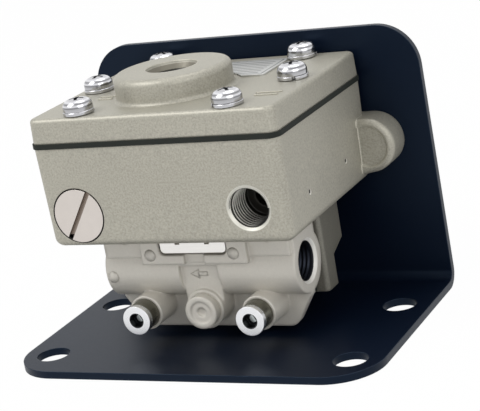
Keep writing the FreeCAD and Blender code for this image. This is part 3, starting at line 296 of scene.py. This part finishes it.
# Kinds of surface
def grained(name, colour, grain, speckle, rough, bump, depth=0.05, edge=None):
    """A blasted, painted or moulded surface. Its edge is (radius, colour, share of that colour), the colour being
    a painted highlight along the edges.
    """
    material, tree, surface = new_material(name)
    skin = placed(tree, cast_grain, Colour=colour, Grain_size=grain, Speckle=speckle, Roughness=rough)
    shown, normal = skin["Colour"], None
    if edge:
        radius, edge_highlight, highlight_share = edge
        rounding = placed(tree, soft_edge, Radius=radius * MM)
        shown = mix_colour(tree, maths(tree, "MULTIPLY", rounding["Edge"], highlight_share), shown, edge_highlight)
        normal = rounding["Normal"]
    feed(tree, surface.inputs["Base Color"], shown)
    feed(tree, surface.inputs["Roughness"], skin["Roughness"])
    relief(tree, surface, skin["Height"], bump, depth * MM, normal)
    return material, surface


def casting(name, colour, grain, speckle, rough, metal, edge, gain, bump):
    """Blasted or plain cast metal with softly rounded edges, and a painted highlight along them."""
    # The painted highlight along the edges: the colour made brighter by the gain
    light = tuple(min(1.0, value * gain) for value in colour[:3]) + (1.0,)
    material, surface = grained(name, colour, grain, speckle, rough, bump, edge=(edge, light, 0.6))
    surface.inputs["Metallic"].default_value = metal
    return material


def machined(name, colour, rough, stretch, marks, edge=0.15):
    """Bright turned, rolled or plated metal with fine tool marks."""
    rough_swing, mark_strength, mark_depth = 0.5, 0.15, 0.02 * MM
    material, tree, surface = new_material(name)
    worked = placed(tree, tool_marks, Stretch=stretch, Strength=marks)
    rounding = placed(tree, soft_edge, Radius=edge * MM)
    swing = maths(tree, "MULTIPLY", worked["Mask"], rough_swing)
    feed(tree, surface.inputs["Base Color"], toned(tree, colour, maths(tree, "ADD", worked["Mask"], 1.0)))
    feed(tree, surface.inputs["Roughness"], maths(tree, "ADD", swing, rough))
    relief(tree, surface, worked["Height"], mark_strength, mark_depth, rounding["Normal"])
    surface.inputs["Metallic"].default_value = 1.0
    return material


def tone_inside(material, colour, mouth, across, radius, reach):
    """Lays a tone over the inside of a round bore: its own colour in some places, painted shade and painted glints
    in others. Radius and reach are in millimetres.
    """
    hole = placed(
        material.node_tree, round_bore, Mouth=mouth, Across=across, Radius=radius * MM, Reach=reach * MM
    )
    lay_over(material, hole["Mask"], colour)


def tone_port(material, mouth, across, rim, bore):
    """Gives the chamfer of a threaded port a bright tone, and paints shade on the port's wall."""
    chamfer_r, chamfer_reach, wall_r, wall_reach = 6.9, 7.1, 6.05, 15.0
    tone_inside(material, rim, mouth, across, chamfer_r, chamfer_reach)
    tone_inside(material, bore, mouth, across, wall_r, wall_reach)


def tone_below(material, height, share):
    """Darkens what lies under a height, where little light reaches."""
    tree = material.node_tree
    low = maths(tree, "LESS_THAN", object_axes(tree)["Z"], height)
    lay_over(material, maths(tree, "MULTIPLY", low, share), grey(0.0))


# How the marks of a tool are stretched along X, Y and Z: the larger the number, the closer they lie
EVEN = (1.0, 1.0, 1.0)
LENGTHWAYS = (4.0, 0.3, 4.0)
TURNED = (0.4, 4.0, 0.4)
ROLLED = (0.15, 3.0, 3.0)
BRUSHED = (0.2, 4.0, 1.0)

# The axes that count for the distance from a bore's axis, or from a point
ALONG_X = (0, 1, 1)
ALONG_Y = (1, 0, 1)
ALONG_Z = (1, 1, 0)
ROUND_POINT = (1, 1, 1)

# Ink of the label's lines, and painted shade in the needles' hexagon sockets
INK_AND_SHADE = written(44, 46, 48)
# Painted shade in the front port's bore and in the dimples of the housing
HOLE_SHADE = written(52, 50, 45)


# Finishes of single pieces
def ruled_label():
    """A bare plate with a thin dark border line and blank ruled lines."""
    half_long, half_deep = 15.0 * MM, 8.9 * MM
    border_inset, border_half = 0.2 * MM, 0.15 * MM
    row_pitch, row_half = 1.1 * MM, 0.24 * MM
    rows_long, rows_deep = 13.0 * MM, 7.4 * MM
    colour = written(206, 207, 205)
    material = machined("label_aluminium", colour, rough=0.45, stretch=BRUSHED, marks=0.12)
    tree = material.node_tree

    def within(distance, limit):
        return maths(tree, "LESS_THAN", distance, limit)

    axes = object_axes(tree)
    across = maths(tree, "ABSOLUTE", maths(tree, "SUBTRACT", axes["X"], LABEL_CENTRE.x))
    deep = maths(tree, "ABSOLUTE", maths(tree, "SUBTRACT", axes["Y"], LABEL_CENTRE.y))
    border_x = maths(tree, "COMPARE", across, half_long - border_inset, border_half)
    border_y = maths(tree, "COMPARE", deep, half_deep - border_inset, border_half)
    row = within(maths(tree, "PINGPONG", axes["Y"], row_pitch), row_half)
    rows = all_of(tree, row, within(across, rows_long), within(deep, rows_deep))
    lines = maths(tree, "MAXIMUM", maths(tree, "MAXIMUM", border_x, border_y), rows)
    inside = all_of(tree, within(across, half_long), within(deep, half_deep))
    lay_over(material, all_of(tree, lines, inside), INK_AND_SHADE)
    return material


def needle_finish():
    """A bright turned head on a duller striped stem, with painted shade in its hexagon socket and a painted glint
    in the socket's middle.
    """
    head_r, head_reach, socket_r, glint_r, socket_reach = 4.6, 4.85, 2.4, 1.2, 3.4
    colour, bright, glint = written(116, 115, 105), written(236, 237, 239), written(196, 202, 202)
    material = machined("needle_steel", colour, rough=0.33, stretch=LENGTHWAYS, marks=0.8, edge=0.25)
    for mouth in NEEDLES:
        tone_inside(material, bright, mouth, ALONG_Y, head_r, head_reach)
        # Painted shade in the socket, and a painted glint in its middle
        tone_inside(material, INK_AND_SHADE, mouth, ALONG_Y, socket_r, socket_reach)
        tone_inside(material, glint, mouth, ALONG_Y, glint_r, socket_reach)
    return material


def bright_steel():
    """Bright plating, with bands of tone by how far a face looks up or down, as it mirrors a room."""
    tones = [(0.0, 0.62), (0.16, 0.22), (0.34, 0.95), (0.6, 0.26), (0.8, 1.0), (1.0, 0.66)]
    material = machined("bright_steel", written(236, 236, 240), rough=0.17, stretch=EVEN, marks=0.12)
    tree = material.node_tree
    base = tree.nodes["Principled BSDF"].inputs["Base Color"]
    normal = add(tree, "ShaderNodeNewGeometry").outputs["Normal"]
    facing = add(tree, "ShaderNodeSeparateXYZ", {"Vector": normal}).outputs["Z"]
    bands = add(tree, "ShaderNodeValToRGB", {"Fac": maths(tree, "ABSOLUTE", facing)})
    ramp = bands.color_ramp
    for end in (0, -1):
        ramp.elements[end].position = tones[end][0]
        ramp.elements[end].color = grey(tones[end][1])
    for place, value in tones[1:-1]:
        ramp.elements.new(place).color = grey(value)
    bare = base.links[0].from_socket
    feed(tree, base, mix_colour(tree, 1.0, bare, bands.outputs["Color"], "MULTIPLY"))
    return material


def cut_thread_finish():
    """Bare cut metal that runs from bright to dark across the front port, as the light falls in it."""
    bright, dark = written(228, 226, 218), written(24, 23, 21)
    material = machined("cut_thread", bright, rough=0.3, stretch=EVEN, marks=0.2)
    tree = material.node_tree
    surface = tree.nodes["Principled BSDF"]
    share = add(tree, "ShaderNodeMapRange", {
        "Value": object_axes(tree)["X"],
        "From Min": FRONT_PORT.x - PORT_R,
        "From Max": FRONT_PORT.x + PORT_R * 0.3,
        "To Min": 1.0,
        "To Max": 0.0,
    })
    feed(tree, surface.inputs["Base Color"], mix_colour(tree, share.outputs[0], dark, bright))
    surface.inputs["Metallic"].default_value = 0.3
    return material


def plug_finish():
    """Pale turned plug whose slot is a darker brownish grey, with painted shade at the slot's open lower end."""
    slot_wall_y, slot_floor_y, slot_end_z = -22.8 * MM, -21.8 * MM, 42.0 * MM
    colour = written(213, 206, 200)
    material = machined("plug_aluminium", colour, rough=0.45, stretch=TURNED, marks=0.1)
    tree = material.node_tree
    axes = object_axes(tree)
    lay_over(material, maths(tree, "GREATER_THAN", axes["Y"], slot_wall_y), written(150, 138, 128))
    floor = maths(tree, "GREATER_THAN", axes["Y"], slot_floor_y)
    low_end = maths(tree, "LESS_THAN", axes["Z"], slot_end_z)
    # Painted shade where the slot opens at its lower end
    lay_over(material, all_of(tree, floor, low_end), written(18, 16, 15))
    return material


def black_paint():
    """Blue-black satin coat on the sheet, with a painted highlight in paler blue along its edges."""
    material, surface = grained(
        "black_paint", written(8, 16, 31),
        grain=0.9, speckle=0.15, rough=0.37, bump=0.08, depth=0.04, edge=(0.35, written(70, 84, 102), 0.55),
    )
    surface.inputs["Specular IOR Level"].default_value = 0.22
    surface.inputs["Specular Tint"].default_value = written(190, 222, 255)
    return material


def rubber():
    """Matt black sheet and rings, faintly dusty."""
    material, surface = grained(
        "black_rubber", written(28, 32, 28), grain=0.4, speckle=0.5, rough=0.75, bump=0.2
    )
    surface.inputs["Specular IOR Level"].default_value = 0.3
    return material


def grey_casting():
    """Blasted housing and cover, with painted shade under the housing, in the front port's bore, round the slotted
    plug, in the vent and in the dimples, a painted glint by each dimple, and a bright chamfer at the port.
    """
    plug_rim_r, plug_rim_reach = 8.66, 8.9
    glint_r, dimple_r, dimple_reach = 0.75, 0.6, 1.0
    vent_r, vent_shade_r, vent_reach = 7.7, 6.9, 10.0
    glint, glint_shift = written(232, 230, 222), Vector((0, 0.35, -0.3)) * MM
    material = casting(
        "grey_casting", written(168, 165, 153),
        grain=0.55, speckle=1.0, rough=0.46, metal=0.4, edge=0.8, gain=2.3, bump=0.5,
    )
    tone_below(material, LEG_TOP, 0.5)
    # Bright chamfer of the front port, and painted shade in its bore
    tone_port(material, FRONT_PORT, ALONG_Y, written(214, 212, 202), HOLE_SHADE)
    # Painted shadow in the gap round the slotted plug
    tone_inside(material, written(30, 29, 27), PLUG, ALONG_Y, plug_rim_r, plug_rim_reach)
    # Painted shade in each dimple, and a painted glint beside it
    for dimple in DIMPLES:
        tone_inside(material, glint, dimple + glint_shift, ROUND_POINT, glint_r, dimple_reach)
        tone_inside(material, HOLE_SHADE, dimple, ROUND_POINT, dimple_r, dimple_reach)
    # Painted shade in the vent's mouth, darker still deeper in
    tone_inside(material, written(124, 120, 108), VENT, ALONG_Z, vent_r, vent_reach)
    tone_inside(material, written(40, 39, 33), VENT, ALONG_Z, vent_shade_r, vent_reach)
    return material


def pale_casting():
    """Smooth valve block, with a bright rim at its port and painted shade in the port's bore."""
    material = casting(
        "pale_casting", written(204, 200, 191),
        grain=0.7, speckle=0.14, rough=0.42, metal=0.15, edge=1.2, gain=1.2, bump=0.14,
    )
    # Bright chamfer of the side port, and painted shade in its bore
    tone_port(material, SIDE_PORT, ALONG_X, written(236, 234, 228), written(22, 25, 32))
    return material


def filter_bronze():
    """Dull sintered disc of the vent."""
    return casting(
        "filter_bronze", written(70, 67, 56),
        grain=0.8, speckle=0.9, rough=0.7, metal=0.4, edge=0.2, gain=1.2, bump=0.9,
    )


GREY_CAST = grey_casting()
PALE_CAST = pale_casting()
PALE_ALUMINIUM = machined("pale_aluminium", written(222, 216, 210), rough=0.42, stretch=TURNED, marks=0.12)
BRIGHT_STEEL = bright_steel()
# Painted shade inside the cross recesses of the screws
RECESS_SHADE = machined("recess_shade", written(40, 40, 43), rough=0.35, stretch=EVEN, marks=0.3)
PLATE_STEEL = machined("plate_steel", written(236, 234, 230), rough=0.34, stretch=ROLLED, marks=0.15)
CUT_THREAD = cut_thread_finish()
# Thread of the side port, in painted shade: bare metal made dark, deep in the port
SHADED_THREAD = machined("shaded_thread", written(34, 37, 44), rough=0.35, stretch=EVEN, marks=0.2)
NEEDLE_STEEL = needle_finish()
PLUG_ALUMINIUM = plug_finish()
SPRING_STEEL = machined("spring_steel", written(150, 152, 156), rough=0.3, stretch=EVEN, marks=0.2)
LABEL = ruled_label()
BRASS = machined("brass", written(200, 170, 100), rough=0.3, stretch=EVEN, marks=0.15)
BRONZE = filter_bronze()
BLACK_PAINT = black_paint()
RUBBER = rubber()

FINISHES = {
    "bracket": BLACK_PAINT,
    "housing": GREY_CAST,
    "cover": GREY_CAST,
    "cover_gasket": RUBBER,
    "label_plate": LABEL,
    "vent_filter": BRONZE,
    "slotted_plug": PLUG_ALUMINIUM,
    "needle_left": NEEDLE_STEEL,
    "needle_right": NEEDLE_STEEL,
    "timing_piston": PALE_ALUMINIUM,
    "valve_stem": BRASS,
    "piston_spring": SPRING_STEEL,
    "block_gasket": RUBBER,
    "valve_block": PALE_CAST,
    "steel_plate": PLATE_STEEL,
    "centre_plug": PALE_CAST,
}
for name, node in nodes.items():
    soft = "oring" in name or "seal" in name
    node.data.materials.clear()
    node.data.materials.append(FINISHES.get(name, RUBBER if soft else BRIGHT_STEEL))


# Modelling helpers
def only(piece):
    """Selects one object and nothing else."""
    bpy.ops.object.select_all(action="DESELECT")
    piece.select_set(True)
    bpy.context.view_layer.objects.active = piece


def apply_place(piece):
    """Puts an object's place, turn and size into its mesh."""
    only(piece)
    bpy.ops.object.transform_apply(location=True, rotation=True, scale=True)


def edit(piece, kind="FACE"):
    """Opens a piece for editing with nothing selected in it."""
    only(piece)
    bpy.ops.object.mode_set(mode="EDIT")
    bpy.ops.mesh.select_mode(type=kind)
    bpy.ops.mesh.select_all(action="DESELECT")


def done():
    bpy.ops.object.mode_set(mode="OBJECT")


def choose_faces(piece, test):
    """Selects the faces that pass a test on their centre and normal."""
    shape = bmesh.from_edit_mesh(piece.data)
    for face in shape.faces:
        face.select_set(bool(test(face.calc_center_median(), face.normal)))
    shape.select_flush_mode()
    bmesh.update_edit_mesh(piece.data)


def choose_edges(piece, test):
    """Selects the edges that pass a test on their middle."""
    shape = bmesh.from_edit_mesh(piece.data)
    for edge in shape.edges:
        edge.select_set(bool(test((edge.verts[0].co + edge.verts[1].co) / 2)))
    shape.select_flush_mode()
    bmesh.update_edit_mesh(piece.data)


def named(name):
    """Names the object that was just added."""
    piece = bpy.context.object
    piece.name = name
    piece.data.name = name
    return piece


def apply_all(piece):
    only(piece)
    for modifier in list(piece.modifiers):
        bpy.ops.object.modifier_apply(modifier=modifier.name)


def sweep(piece, angle, steps, rise=0.0, rounds=1):
    """Turns an outline about Z by an angle in degrees, rising as it goes, some rounds over."""
    turning = piece.modifiers.new("sweep", "SCREW")
    turning.axis = "Z"
    turning.angle = math.radians(angle)
    turning.screw_offset = rise
    turning.iterations = rounds
    turning.steps = steps
    turning.render_steps = steps
    return turning


def carve(piece, cutter):
    """Cuts one shape out of another and removes the cutter."""
    cut = piece.modifiers.new("cut", "BOOLEAN")
    cut.operation = "DIFFERENCE"
    cut.solver = "EXACT"
    cut.object = cutter
    apply_all(piece)
    bpy.data.objects.remove(cutter)


def close_ends(piece):
    """Closes the open ends of a swept wire."""
    edit(piece, "EDGE")
    bpy.ops.mesh.select_all(action="SELECT")
    bpy.ops.mesh.remove_doubles(threshold=0.001 * MM)
    bpy.ops.mesh.select_all(action="DESELECT")
    bpy.ops.mesh.select_non_manifold()
    bpy.ops.mesh.fill_holes(sides=0)
    done()


def settle(piece, angle=35):
    """Puts a piece's place into its mesh, with its faces outwards and its edges crisp."""
    apply_place(piece)
    edit(piece)
    bpy.ops.mesh.select_all(action="SELECT")
    bpy.ops.mesh.remove_doubles(threshold=0.002 * MM)
    bpy.ops.mesh.normals_make_consistent(inside=False)
    done()
    bpy.ops.object.shade_smooth_by_angle(angle=math.radians(angle))


def turn_to(piece, direction):
    """Points a piece that was made along +Z up, to the back, to the front or to the right."""
    turns = {"up": (0, 0, 0), "back": (-90, 0, 0), "front": (90, 0, 0), "right": (0, 90, 0)}
    piece.rotation_euler = [math.radians(turn) for turn in turns[direction]]


def finish_piece(piece, finish, instead=None):
    """Gives a piece its finish and its body, and hides the CAD node it stands for."""
    if not piece.data.materials:
        piece.data.materials.append(finish)
    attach(piece, "valve_body")
    if instead:
        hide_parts(instead)


def copied(piece):
    """A second piece of the same shape, with its own mesh."""
    twin = piece.copy()
    twin.data = piece.data.copy()
    bpy.context.scene.collection.objects.link(twin)
    return twin


def lathe(name, outline):
    """A (radius, length) outline in mm, turned about +Z. It ends on the axis, where it began."""
    bpy.ops.mesh.primitive_plane_add(size=1 * MM)
    piece = named(name)
    edit(piece, "VERT")
    bpy.ops.mesh.select_all(action="SELECT")
    bpy.ops.mesh.merge(type="CENTER")
    bpy.ops.mesh.select_all(action="SELECT")
    corners = [Vector((radius, 0, length)) * MM for radius, length in outline]
    bpy.ops.transform.translate(value=corners[0])
    for last, corner in zip(corners, corners[1:]):
        bpy.ops.mesh.extrude_region_move(TRANSFORM_OT_translate={"value": corner - last})
    done()
    turning = sweep(piece, 360, 40)
    turning.use_merge_vertices = True
    turning.merge_threshold = 0.001 * MM
    apply_all(piece)
    return piece


def paint(piece, finish, test):
    """Gives a second finish to the faces whose centre passes a test."""
    piece.data.materials.append(finish)
    place = len(piece.data.materials) - 1
    for face in piece.data.polygons:
        if test(face.center):
            face.material_index = place


# Fasteners: sizes of the pan heads, with the length of one recess arm, and of the spring washers
M4_HEAD = {"head_r": 4.3 * MM, "head_h": 2.7 * MM, "shank_r": 2.0 * MM, "arm": 4.6 * MM}
M5_HEAD = {"head_r": 4.5 * MM, "head_h": 3.3 * MM, "shank_r": 2.5 * MM, "arm": 5.0 * MM}
M4_WASHER = {"inner_r": 2.25 * MM, "outer_r": 3.8 * MM, "thick": 1.0 * MM}
M5_WASHER = {"inner_r": 2.75 * MM, "outer_r": 4.65 * MM, "thick": 1.3 * MM}


def cross_arm(length, width, depth, top):
    """One arm of a cross recess, narrower at its bottom. It stands out over the head it cuts."""
    over, taper = 0.4 * MM, (0.35, 0.7, 1.0)
    bpy.ops.mesh.primitive_cube_add(size=1, location=(0, 0, top - depth / 2 + over / 2))
    arm = bpy.context.object
    arm.scale = (length, width, depth + over)
    apply_place(arm)
    edit(arm)
    choose_faces(arm, lambda centre, normal: normal.z < -0.5)
    bpy.ops.transform.resize(value=taper)
    done()
    return arm


def pan_screw(name, shank_l, head_r, head_h, shank_r, arm):
    """A pan head screw with a cross recess, standing on the origin.

    The plain numbers are shares of the head's height or radius, or of the recess arm.
    """
    rounding, crown, crown_inset, rim_inset, tip_share = 0.72, 0.05, 0.22, 0.05, 0.85
    arm_width, recess_depth, recess_turn = 0.21, 0.6, 20
    recess_low, recess_high, recess_r = head_h * 0.3, head_h * 0.93, arm * 0.52
    bpy.ops.mesh.primitive_cylinder_add(vertices=48, radius=head_r, depth=head_h, location=(0, 0, head_h / 2))
    screw = named(name)
    apply_place(screw)
    edit(screw, "EDGE")
    choose_edges(screw, lambda centre: centre.z > head_h - 0.01 * MM)
    bpy.ops.mesh.bevel(offset=head_h * rounding, segments=9, profile=0.5)
    bpy.ops.mesh.select_mode(type="FACE")
    bpy.ops.mesh.select_all(action="DESELECT")
    choose_faces(
        screw,
        lambda centre, normal: normal.z > 0.9 and centre.z > head_h * 0.9 and centre.xy.length < 0.1 * MM,
    )
    bpy.ops.mesh.inset(thickness=head_r * crown_inset)
    bpy.ops.transform.translate(value=(0, 0, head_h * crown))
    bpy.ops.mesh.select_all(action="DESELECT")
    choose_faces(screw, lambda centre, normal: normal.z < -0.9)
    bpy.ops.mesh.inset(thickness=head_r * rim_inset)
    bpy.ops.mesh.inset(thickness=head_r * (1 - rim_inset) - shank_r)
    bpy.ops.mesh.extrude_region_move(TRANSFORM_OT_translate={"value": (0, 0, -shank_l)})
    bpy.ops.transform.resize(value=(tip_share, tip_share, 1.0))
    done()
    for turn in (recess_turn, recess_turn + 90):
        cutter = cross_arm(arm, arm * arm_width, head_h * recess_depth, head_h)
        cutter.rotation_euler = (0, 0, math.radians(turn))
        carve(screw, cutter)
    screw.data.materials.clear()
    screw.data.materials.append(BRIGHT_STEEL)
    # Painted shade on the faces inside the recess
    paint(
        screw, RECESS_SHADE,
        lambda centre: centre.xy.length < recess_r and recess_low < centre.z < recess_high,
    )
    return screw


def spring_washer(name, inner_r, outer_r, thick):
    """A split washer of square wire, its ends a little apart."""
    wire, corner, twist, gap = thick * 0.86, thick * 0.12, thick * 0.13, 14
    bpy.ops.mesh.primitive_plane_add(size=1, rotation=(math.radians(90), 0, 0))
    washer = named(name)
    washer.scale = (outer_r - inner_r, wire, 1)
    washer.location = ((outer_r + inner_r) / 2, 0, thick * 0.45)
    apply_place(washer)
    edit(washer)
    bpy.ops.mesh.select_all(action="SELECT")
    bpy.ops.mesh.bevel(offset=corner, segments=1, affect="VERTICES")
    bpy.ops.mesh.select_all(action="SELECT")
    bpy.ops.mesh.delete(type="ONLY_FACE")
    done()
    sweep(washer, 360 - gap, 44, twist)
    apply_all(washer)
    close_ends(washer)
    return washer


def fastener_set(prefix, seats, direction, head, shank_l, washer, stands_for):
    """Copies of one screw and one spring washer on every seat. The pieces copied go to the last seat.

    Until then they hold the first seat's names, so its copies get names that end in .001.
    """
    along = {"up": Vector((0, 0, 1)), "back": Vector((0, 1, 0))}[direction]
    screw = pan_screw(prefix + "_1", shank_l, **head)
    ring = spring_washer(prefix + "_spring_washer_1", **washer)
    kinds = [
        (screw, "", washer["thick"], 0, stands_for + "_screws"),
        (ring, "_spring_washer", 0.0, 35, stands_for + "_spring_washers"),
    ]
    for count, seat in enumerate(seats, 1):
        for source, label, lift, turn, node in kinds:
            piece = source if count == len(seats) else copied(source)
            piece.name = f"{prefix}{label}_{count}"
            piece.data.name = piece.name
            turn_to(piece, direction)
            piece.rotation_euler.rotate_axis("Z", math.radians(67 * (count - 1) + turn))
            piece.location = seat + along * lift
            settle(piece)
            finish_piece(piece, BRIGHT_STEEL, node)


def make_fasteners():
    """The screws of the cover, of the bracket, and the upper and lower ones of the valve block."""
    cover = [Vector((x * MM, y * MM, COVER_TOP)) for x, y in COVER_SEATS]
    bracket = [Vector((x * MM, UPRIGHT_BACK, z * MM)) for x, z in BRACKET_SEATS]
    block = [Vector((x * MM, BLOCK_SEAT_Y, z * MM)) for x, z in BLOCK_SEATS]
    foot = [Vector((x * MM, FOOT_SEAT_Y, z * MM)) for x, z in FOOT_SEATS]
    cover_shank, bracket_shank, block_shank, foot_shank = 16.0 * MM, 10.0 * MM, 25.0 * MM, 16.5 * MM
    fastener_set("cover_screw", cover, "up", M5_HEAD, cover_shank, M5_WASHER, "cover")
    fastener_set("bracket_screw", bracket, "back", M5_HEAD, bracket_shank, M5_WASHER, "bracket")
    fastener_set("block_screw", block, "back", M4_HEAD, block_shank, M4_WASHER, "block")
    fastener_set("foot_screw", foot, "back", M4_HEAD, foot_shank, M4_WASHER, "block")


# Pipe threads and the piston's spring
def upright_circle(name, corners, radius):
    """The outline of a wire, standing in the plane of X and Z."""
    bpy.ops.mesh.primitive_circle_add(
        vertices=corners, radius=radius, fill_type="NOTHING", rotation=(math.radians(90), 0, 0)
    )
    return named(name)


def thread_ridge(name, finish, mouth, direction):
    """A helical ridge on the wall of a port, from its mouth inwards."""
    flank = 0.56
    ridge = upright_circle(name, 3, THREAD_HEIGHT)
    ridge.scale = (1, 1, PIPE_PITCH / THREAD_HEIGHT * flank)
    ridge.location = (PORT_R, 0, 0)
    apply_place(ridge)
    sweep(ridge, 360, 40, PIPE_PITCH, THREAD_TURNS)
    apply_all(ridge)
    close_ends(ridge)
    turn_to(ridge, direction)
    ridge.location = mouth
    settle(ridge, 50)
    finish_piece(ridge, finish)


def make_threads():
    front = FRONT_PORT + Vector((0, THREAD_START, 0))
    side = SIDE_PORT - Vector((SIDE_THREAD_DEPTH, 0, 0))
    thread_ridge("front_port_thread", CUT_THREAD, front, "back")
    thread_ridge("side_port_thread", SHADED_THREAD, side, "right")


def make_spring():
    """The coil above the timing piston. In the valve it shortens as the piston lifts, its upper end staying put;
    here it keeps one length.

    The wire's middle runs from the low height to the high one.
    """
    low, high, fixed_end = 61.75 * MM, 78.35 * MM, 79.1 * MM
    coil_r, wire_r, rounds, steps_per_round = 10.2 * MM, 0.7 * MM, 4.5, 24
    spring = upright_circle("piston_spring_coil", 10, wire_r)
    spring.location = (coil_r, 0, 0)
    apply_place(spring)
    sweep(spring, 360 * rounds, int(steps_per_round * rounds), high - low)
    apply_all(spring)
    close_ends(spring)
    spring.location = (BOSS.x, BOSS.y, low)
    settle(spring, 50)
    finish_piece(spring, SPRING_STEEL, "piston_spring")
    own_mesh(spring)


# Small raised forms of the castings
def raised_bar(name, length, place):
    """A low bar with rounded ends on the cover."""
    width, height = 0.9 * MM, 0.3 * MM
    bpy.ops.mesh.primitive_cube_add(size=1)
    bar = named(name)
    bar.scale = (length, width, height)
    bar.location = place + Vector((0, 0, height / 2))
    only(bar)
    bpy.ops.object.transform_apply(location=False, rotation=False, scale=True)
    edit(bar, "EDGE")
    choose_edges(bar, lambda centre: abs(centre.z) < height * 0.1)
    bpy.ops.mesh.bevel(offset=width * 0.48, segments=5)
    bpy.ops.mesh.select_all(action="DESELECT")
    bpy.ops.mesh.select_mode(type="FACE")
    choose_faces(bar, lambda centre, normal: normal.z > 0.9)
    bpy.ops.mesh.bevel(offset=height * 0.45, segments=3, affect="EDGES")
    done()
    settle(bar)
    finish_piece(bar, GREY_CAST)


def pin_mark(name, place):
    """The round raised mark of an ejector pin on the front of the valve block."""
    radius, height = 1.9, 0.18
    disc = lathe(name, [(0, height), (radius * 0.8, height), (radius, height * 0.5), (radius, 0), (0, 0)])
    turn_to(disc, "front")
    disc.location = place
    settle(disc)
    finish_piece(disc, PALE_CAST)


def flow_arrow(name, place):
    """A plain raised arrow on the centre flat, pointing left."""
    head_r, stem_width, height = 2.1 * MM, 1.4 * MM, 0.25 * MM
    head_share, stem_stretch, stem_shift = 0.85, 2.2, 2.3 * MM
    bpy.ops.mesh.primitive_circle_add(vertices=3, radius=head_r, fill_type="NGON")
    arrow = named(name)
    edit(arrow)
    bpy.ops.mesh.select_all(action="SELECT")
    bpy.ops.transform.resize(value=(head_share, 1.0, 1.0))
    bpy.ops.transform.rotate(value=math.radians(-90), orient_axis="Z", center_override=(0, 0, 0))
    bpy.ops.mesh.primitive_plane_add(size=stem_width, location=(0, 0, 0))
    bpy.ops.transform.resize(value=(stem_stretch, 1.0, 1.0), center_override=(0, 0, 0))
    bpy.ops.transform.translate(value=(stem_shift, 0, 0))
    bpy.ops.mesh.select_all(action="SELECT")
    bpy.ops.mesh.extrude_region_move(TRANSFORM_OT_translate={"value": (0, 0, height)})
    done()
    turn_to(arrow, "front")
    arrow.location = place
    settle(arrow)
    finish_piece(arrow, PALE_CAST)


def make_raised_marks():
    """Bars on the cover as (x, y, length), and pin marks and an arrow on the valve block, in mm."""
    bars = [(31.5, -6.6, 8.4), (31.8, -9.4, 7.6), (-25.6, 0.4, 6.0), (-25.2, -2.4, 5.2)]
    pins = [(-14.6, -11.5, 31.1), (13.5, -11.5, 31.4), (-29.7, -10.15, 23.8)]
    for count, (x, y, length) in enumerate(bars, 1):
        raised_bar(f"cover_mark_{count}", length * MM, Vector((x * MM, y * MM, COVER_TOP)))
    for count, place in enumerate(pins, 1):
        pin_mark(f"pin_mark_{count}", Vector(place) * MM)
    flow_arrow("flow_arrow", Vector((-1.6, -8.4, 24.0)) * MM)


# Stage, light and camera
def seen_directly(tree):
    """1 for what the camera sees, also by mirror or through glass, and 0 for light on the part."""
    path = add(tree, "ShaderNodeLightPath").outputs
    seen = maths(tree, "MAXIMUM", path["Is Camera Ray"], path["Is Glossy Ray"])
    return maths(tree, "MAXIMUM", seen, path["Is Transmission Ray"])


def make_floor():
    """A pale floor just under the bracket, nearly white where it is seen."""
    bpy.ops.mesh.primitive_plane_add(size=6, location=(0, 0, -0.2 * MM))
    floor = named("floor")
    material, tree, surface = new_material("pale_floor")
    surface.inputs["Base Color"].default_value = grey(0.9)
    surface.inputs["Roughness"].default_value = 0.9
    surface.inputs["Specular IOR Level"].default_value = 0.1
    glow = add(tree, "ShaderNodeEmission", {"Color": grey(1.0), "Strength": 1.0})
    share = maths(tree, "MULTIPLY", seen_directly(tree), 0.98)
    both = add(tree, "ShaderNodeMixShader", {0: share, 1: surface.outputs[0], 2: glow.outputs[0]})
    feed(tree, tree.nodes["Material Output"].inputs["Surface"], both.outputs[0])
    floor.data.materials.append(material)


def make_room():
    """A white room that lights the part softly."""
    world = bpy.data.worlds.new("studio")
    world.use_nodes = True
    bpy.context.scene.world = world
    tree = world.node_tree
    shown = add(tree, "ShaderNodeBackground", {"Color": grey(1.0), "Strength": 1.0})
    light = add(tree, "ShaderNodeBackground", {"Color": grey(1.0), "Strength": 0.42})
    both = add(
        tree, "ShaderNodeMixShader", {0: seen_directly(tree), 1: light.outputs[0], 2: shown.outputs[0]}
    )
    feed(tree, tree.nodes["World Output"].inputs["Surface"], both.outputs[0])


def lamp(name, place, size, power):
    """A square lamp that points at the middle of the part."""
    data = bpy.data.lights.new(name, "AREA")
    data.size = size
    data.energy = power
    light = bpy.data.objects.new(name, data)
    light.location = place
    aim = Vector((0, 0, 0.04)) - Vector(place)
    light.rotation_euler = aim.to_track_quat("-Z", "Y").to_euler()
    bpy.context.scene.collection.objects.link(light)


def make_light():
    lamp("key_light", (-0.55, -0.55, 0.9), 0.7, 7.0)
    lamp("fill_light", (0.8, -0.6, 0.5), 0.8, 3.2)
    lamp("top_light", (0.1, 0.3, 1.1), 0.6, 2.6)


def make_camera():
    """The photograph's camera, solved from its straight edges and round rims."""
    data = bpy.data.cameras.new("camera")
    data.sensor_width = 36
    data.lens = 123.74
    data.clip_start = 0.01
    data.clip_end = 20
    camera = bpy.data.objects.new("camera", data)
    camera.location = (0.23278, -0.41936, 0.1778)
    camera.rotation_euler = [math.radians(turn) for turn in (73.82, 9.547, 24.955)]
    bpy.context.scene.collection.objects.link(camera)
    bpy.context.scene.camera = camera


make_camera()
make_floor()
make_room()
make_light()
make_fasteners()
make_threads()
make_spring()
make_raised_marks()

bpy.context.scene.view_settings.view_transform = "Standard"
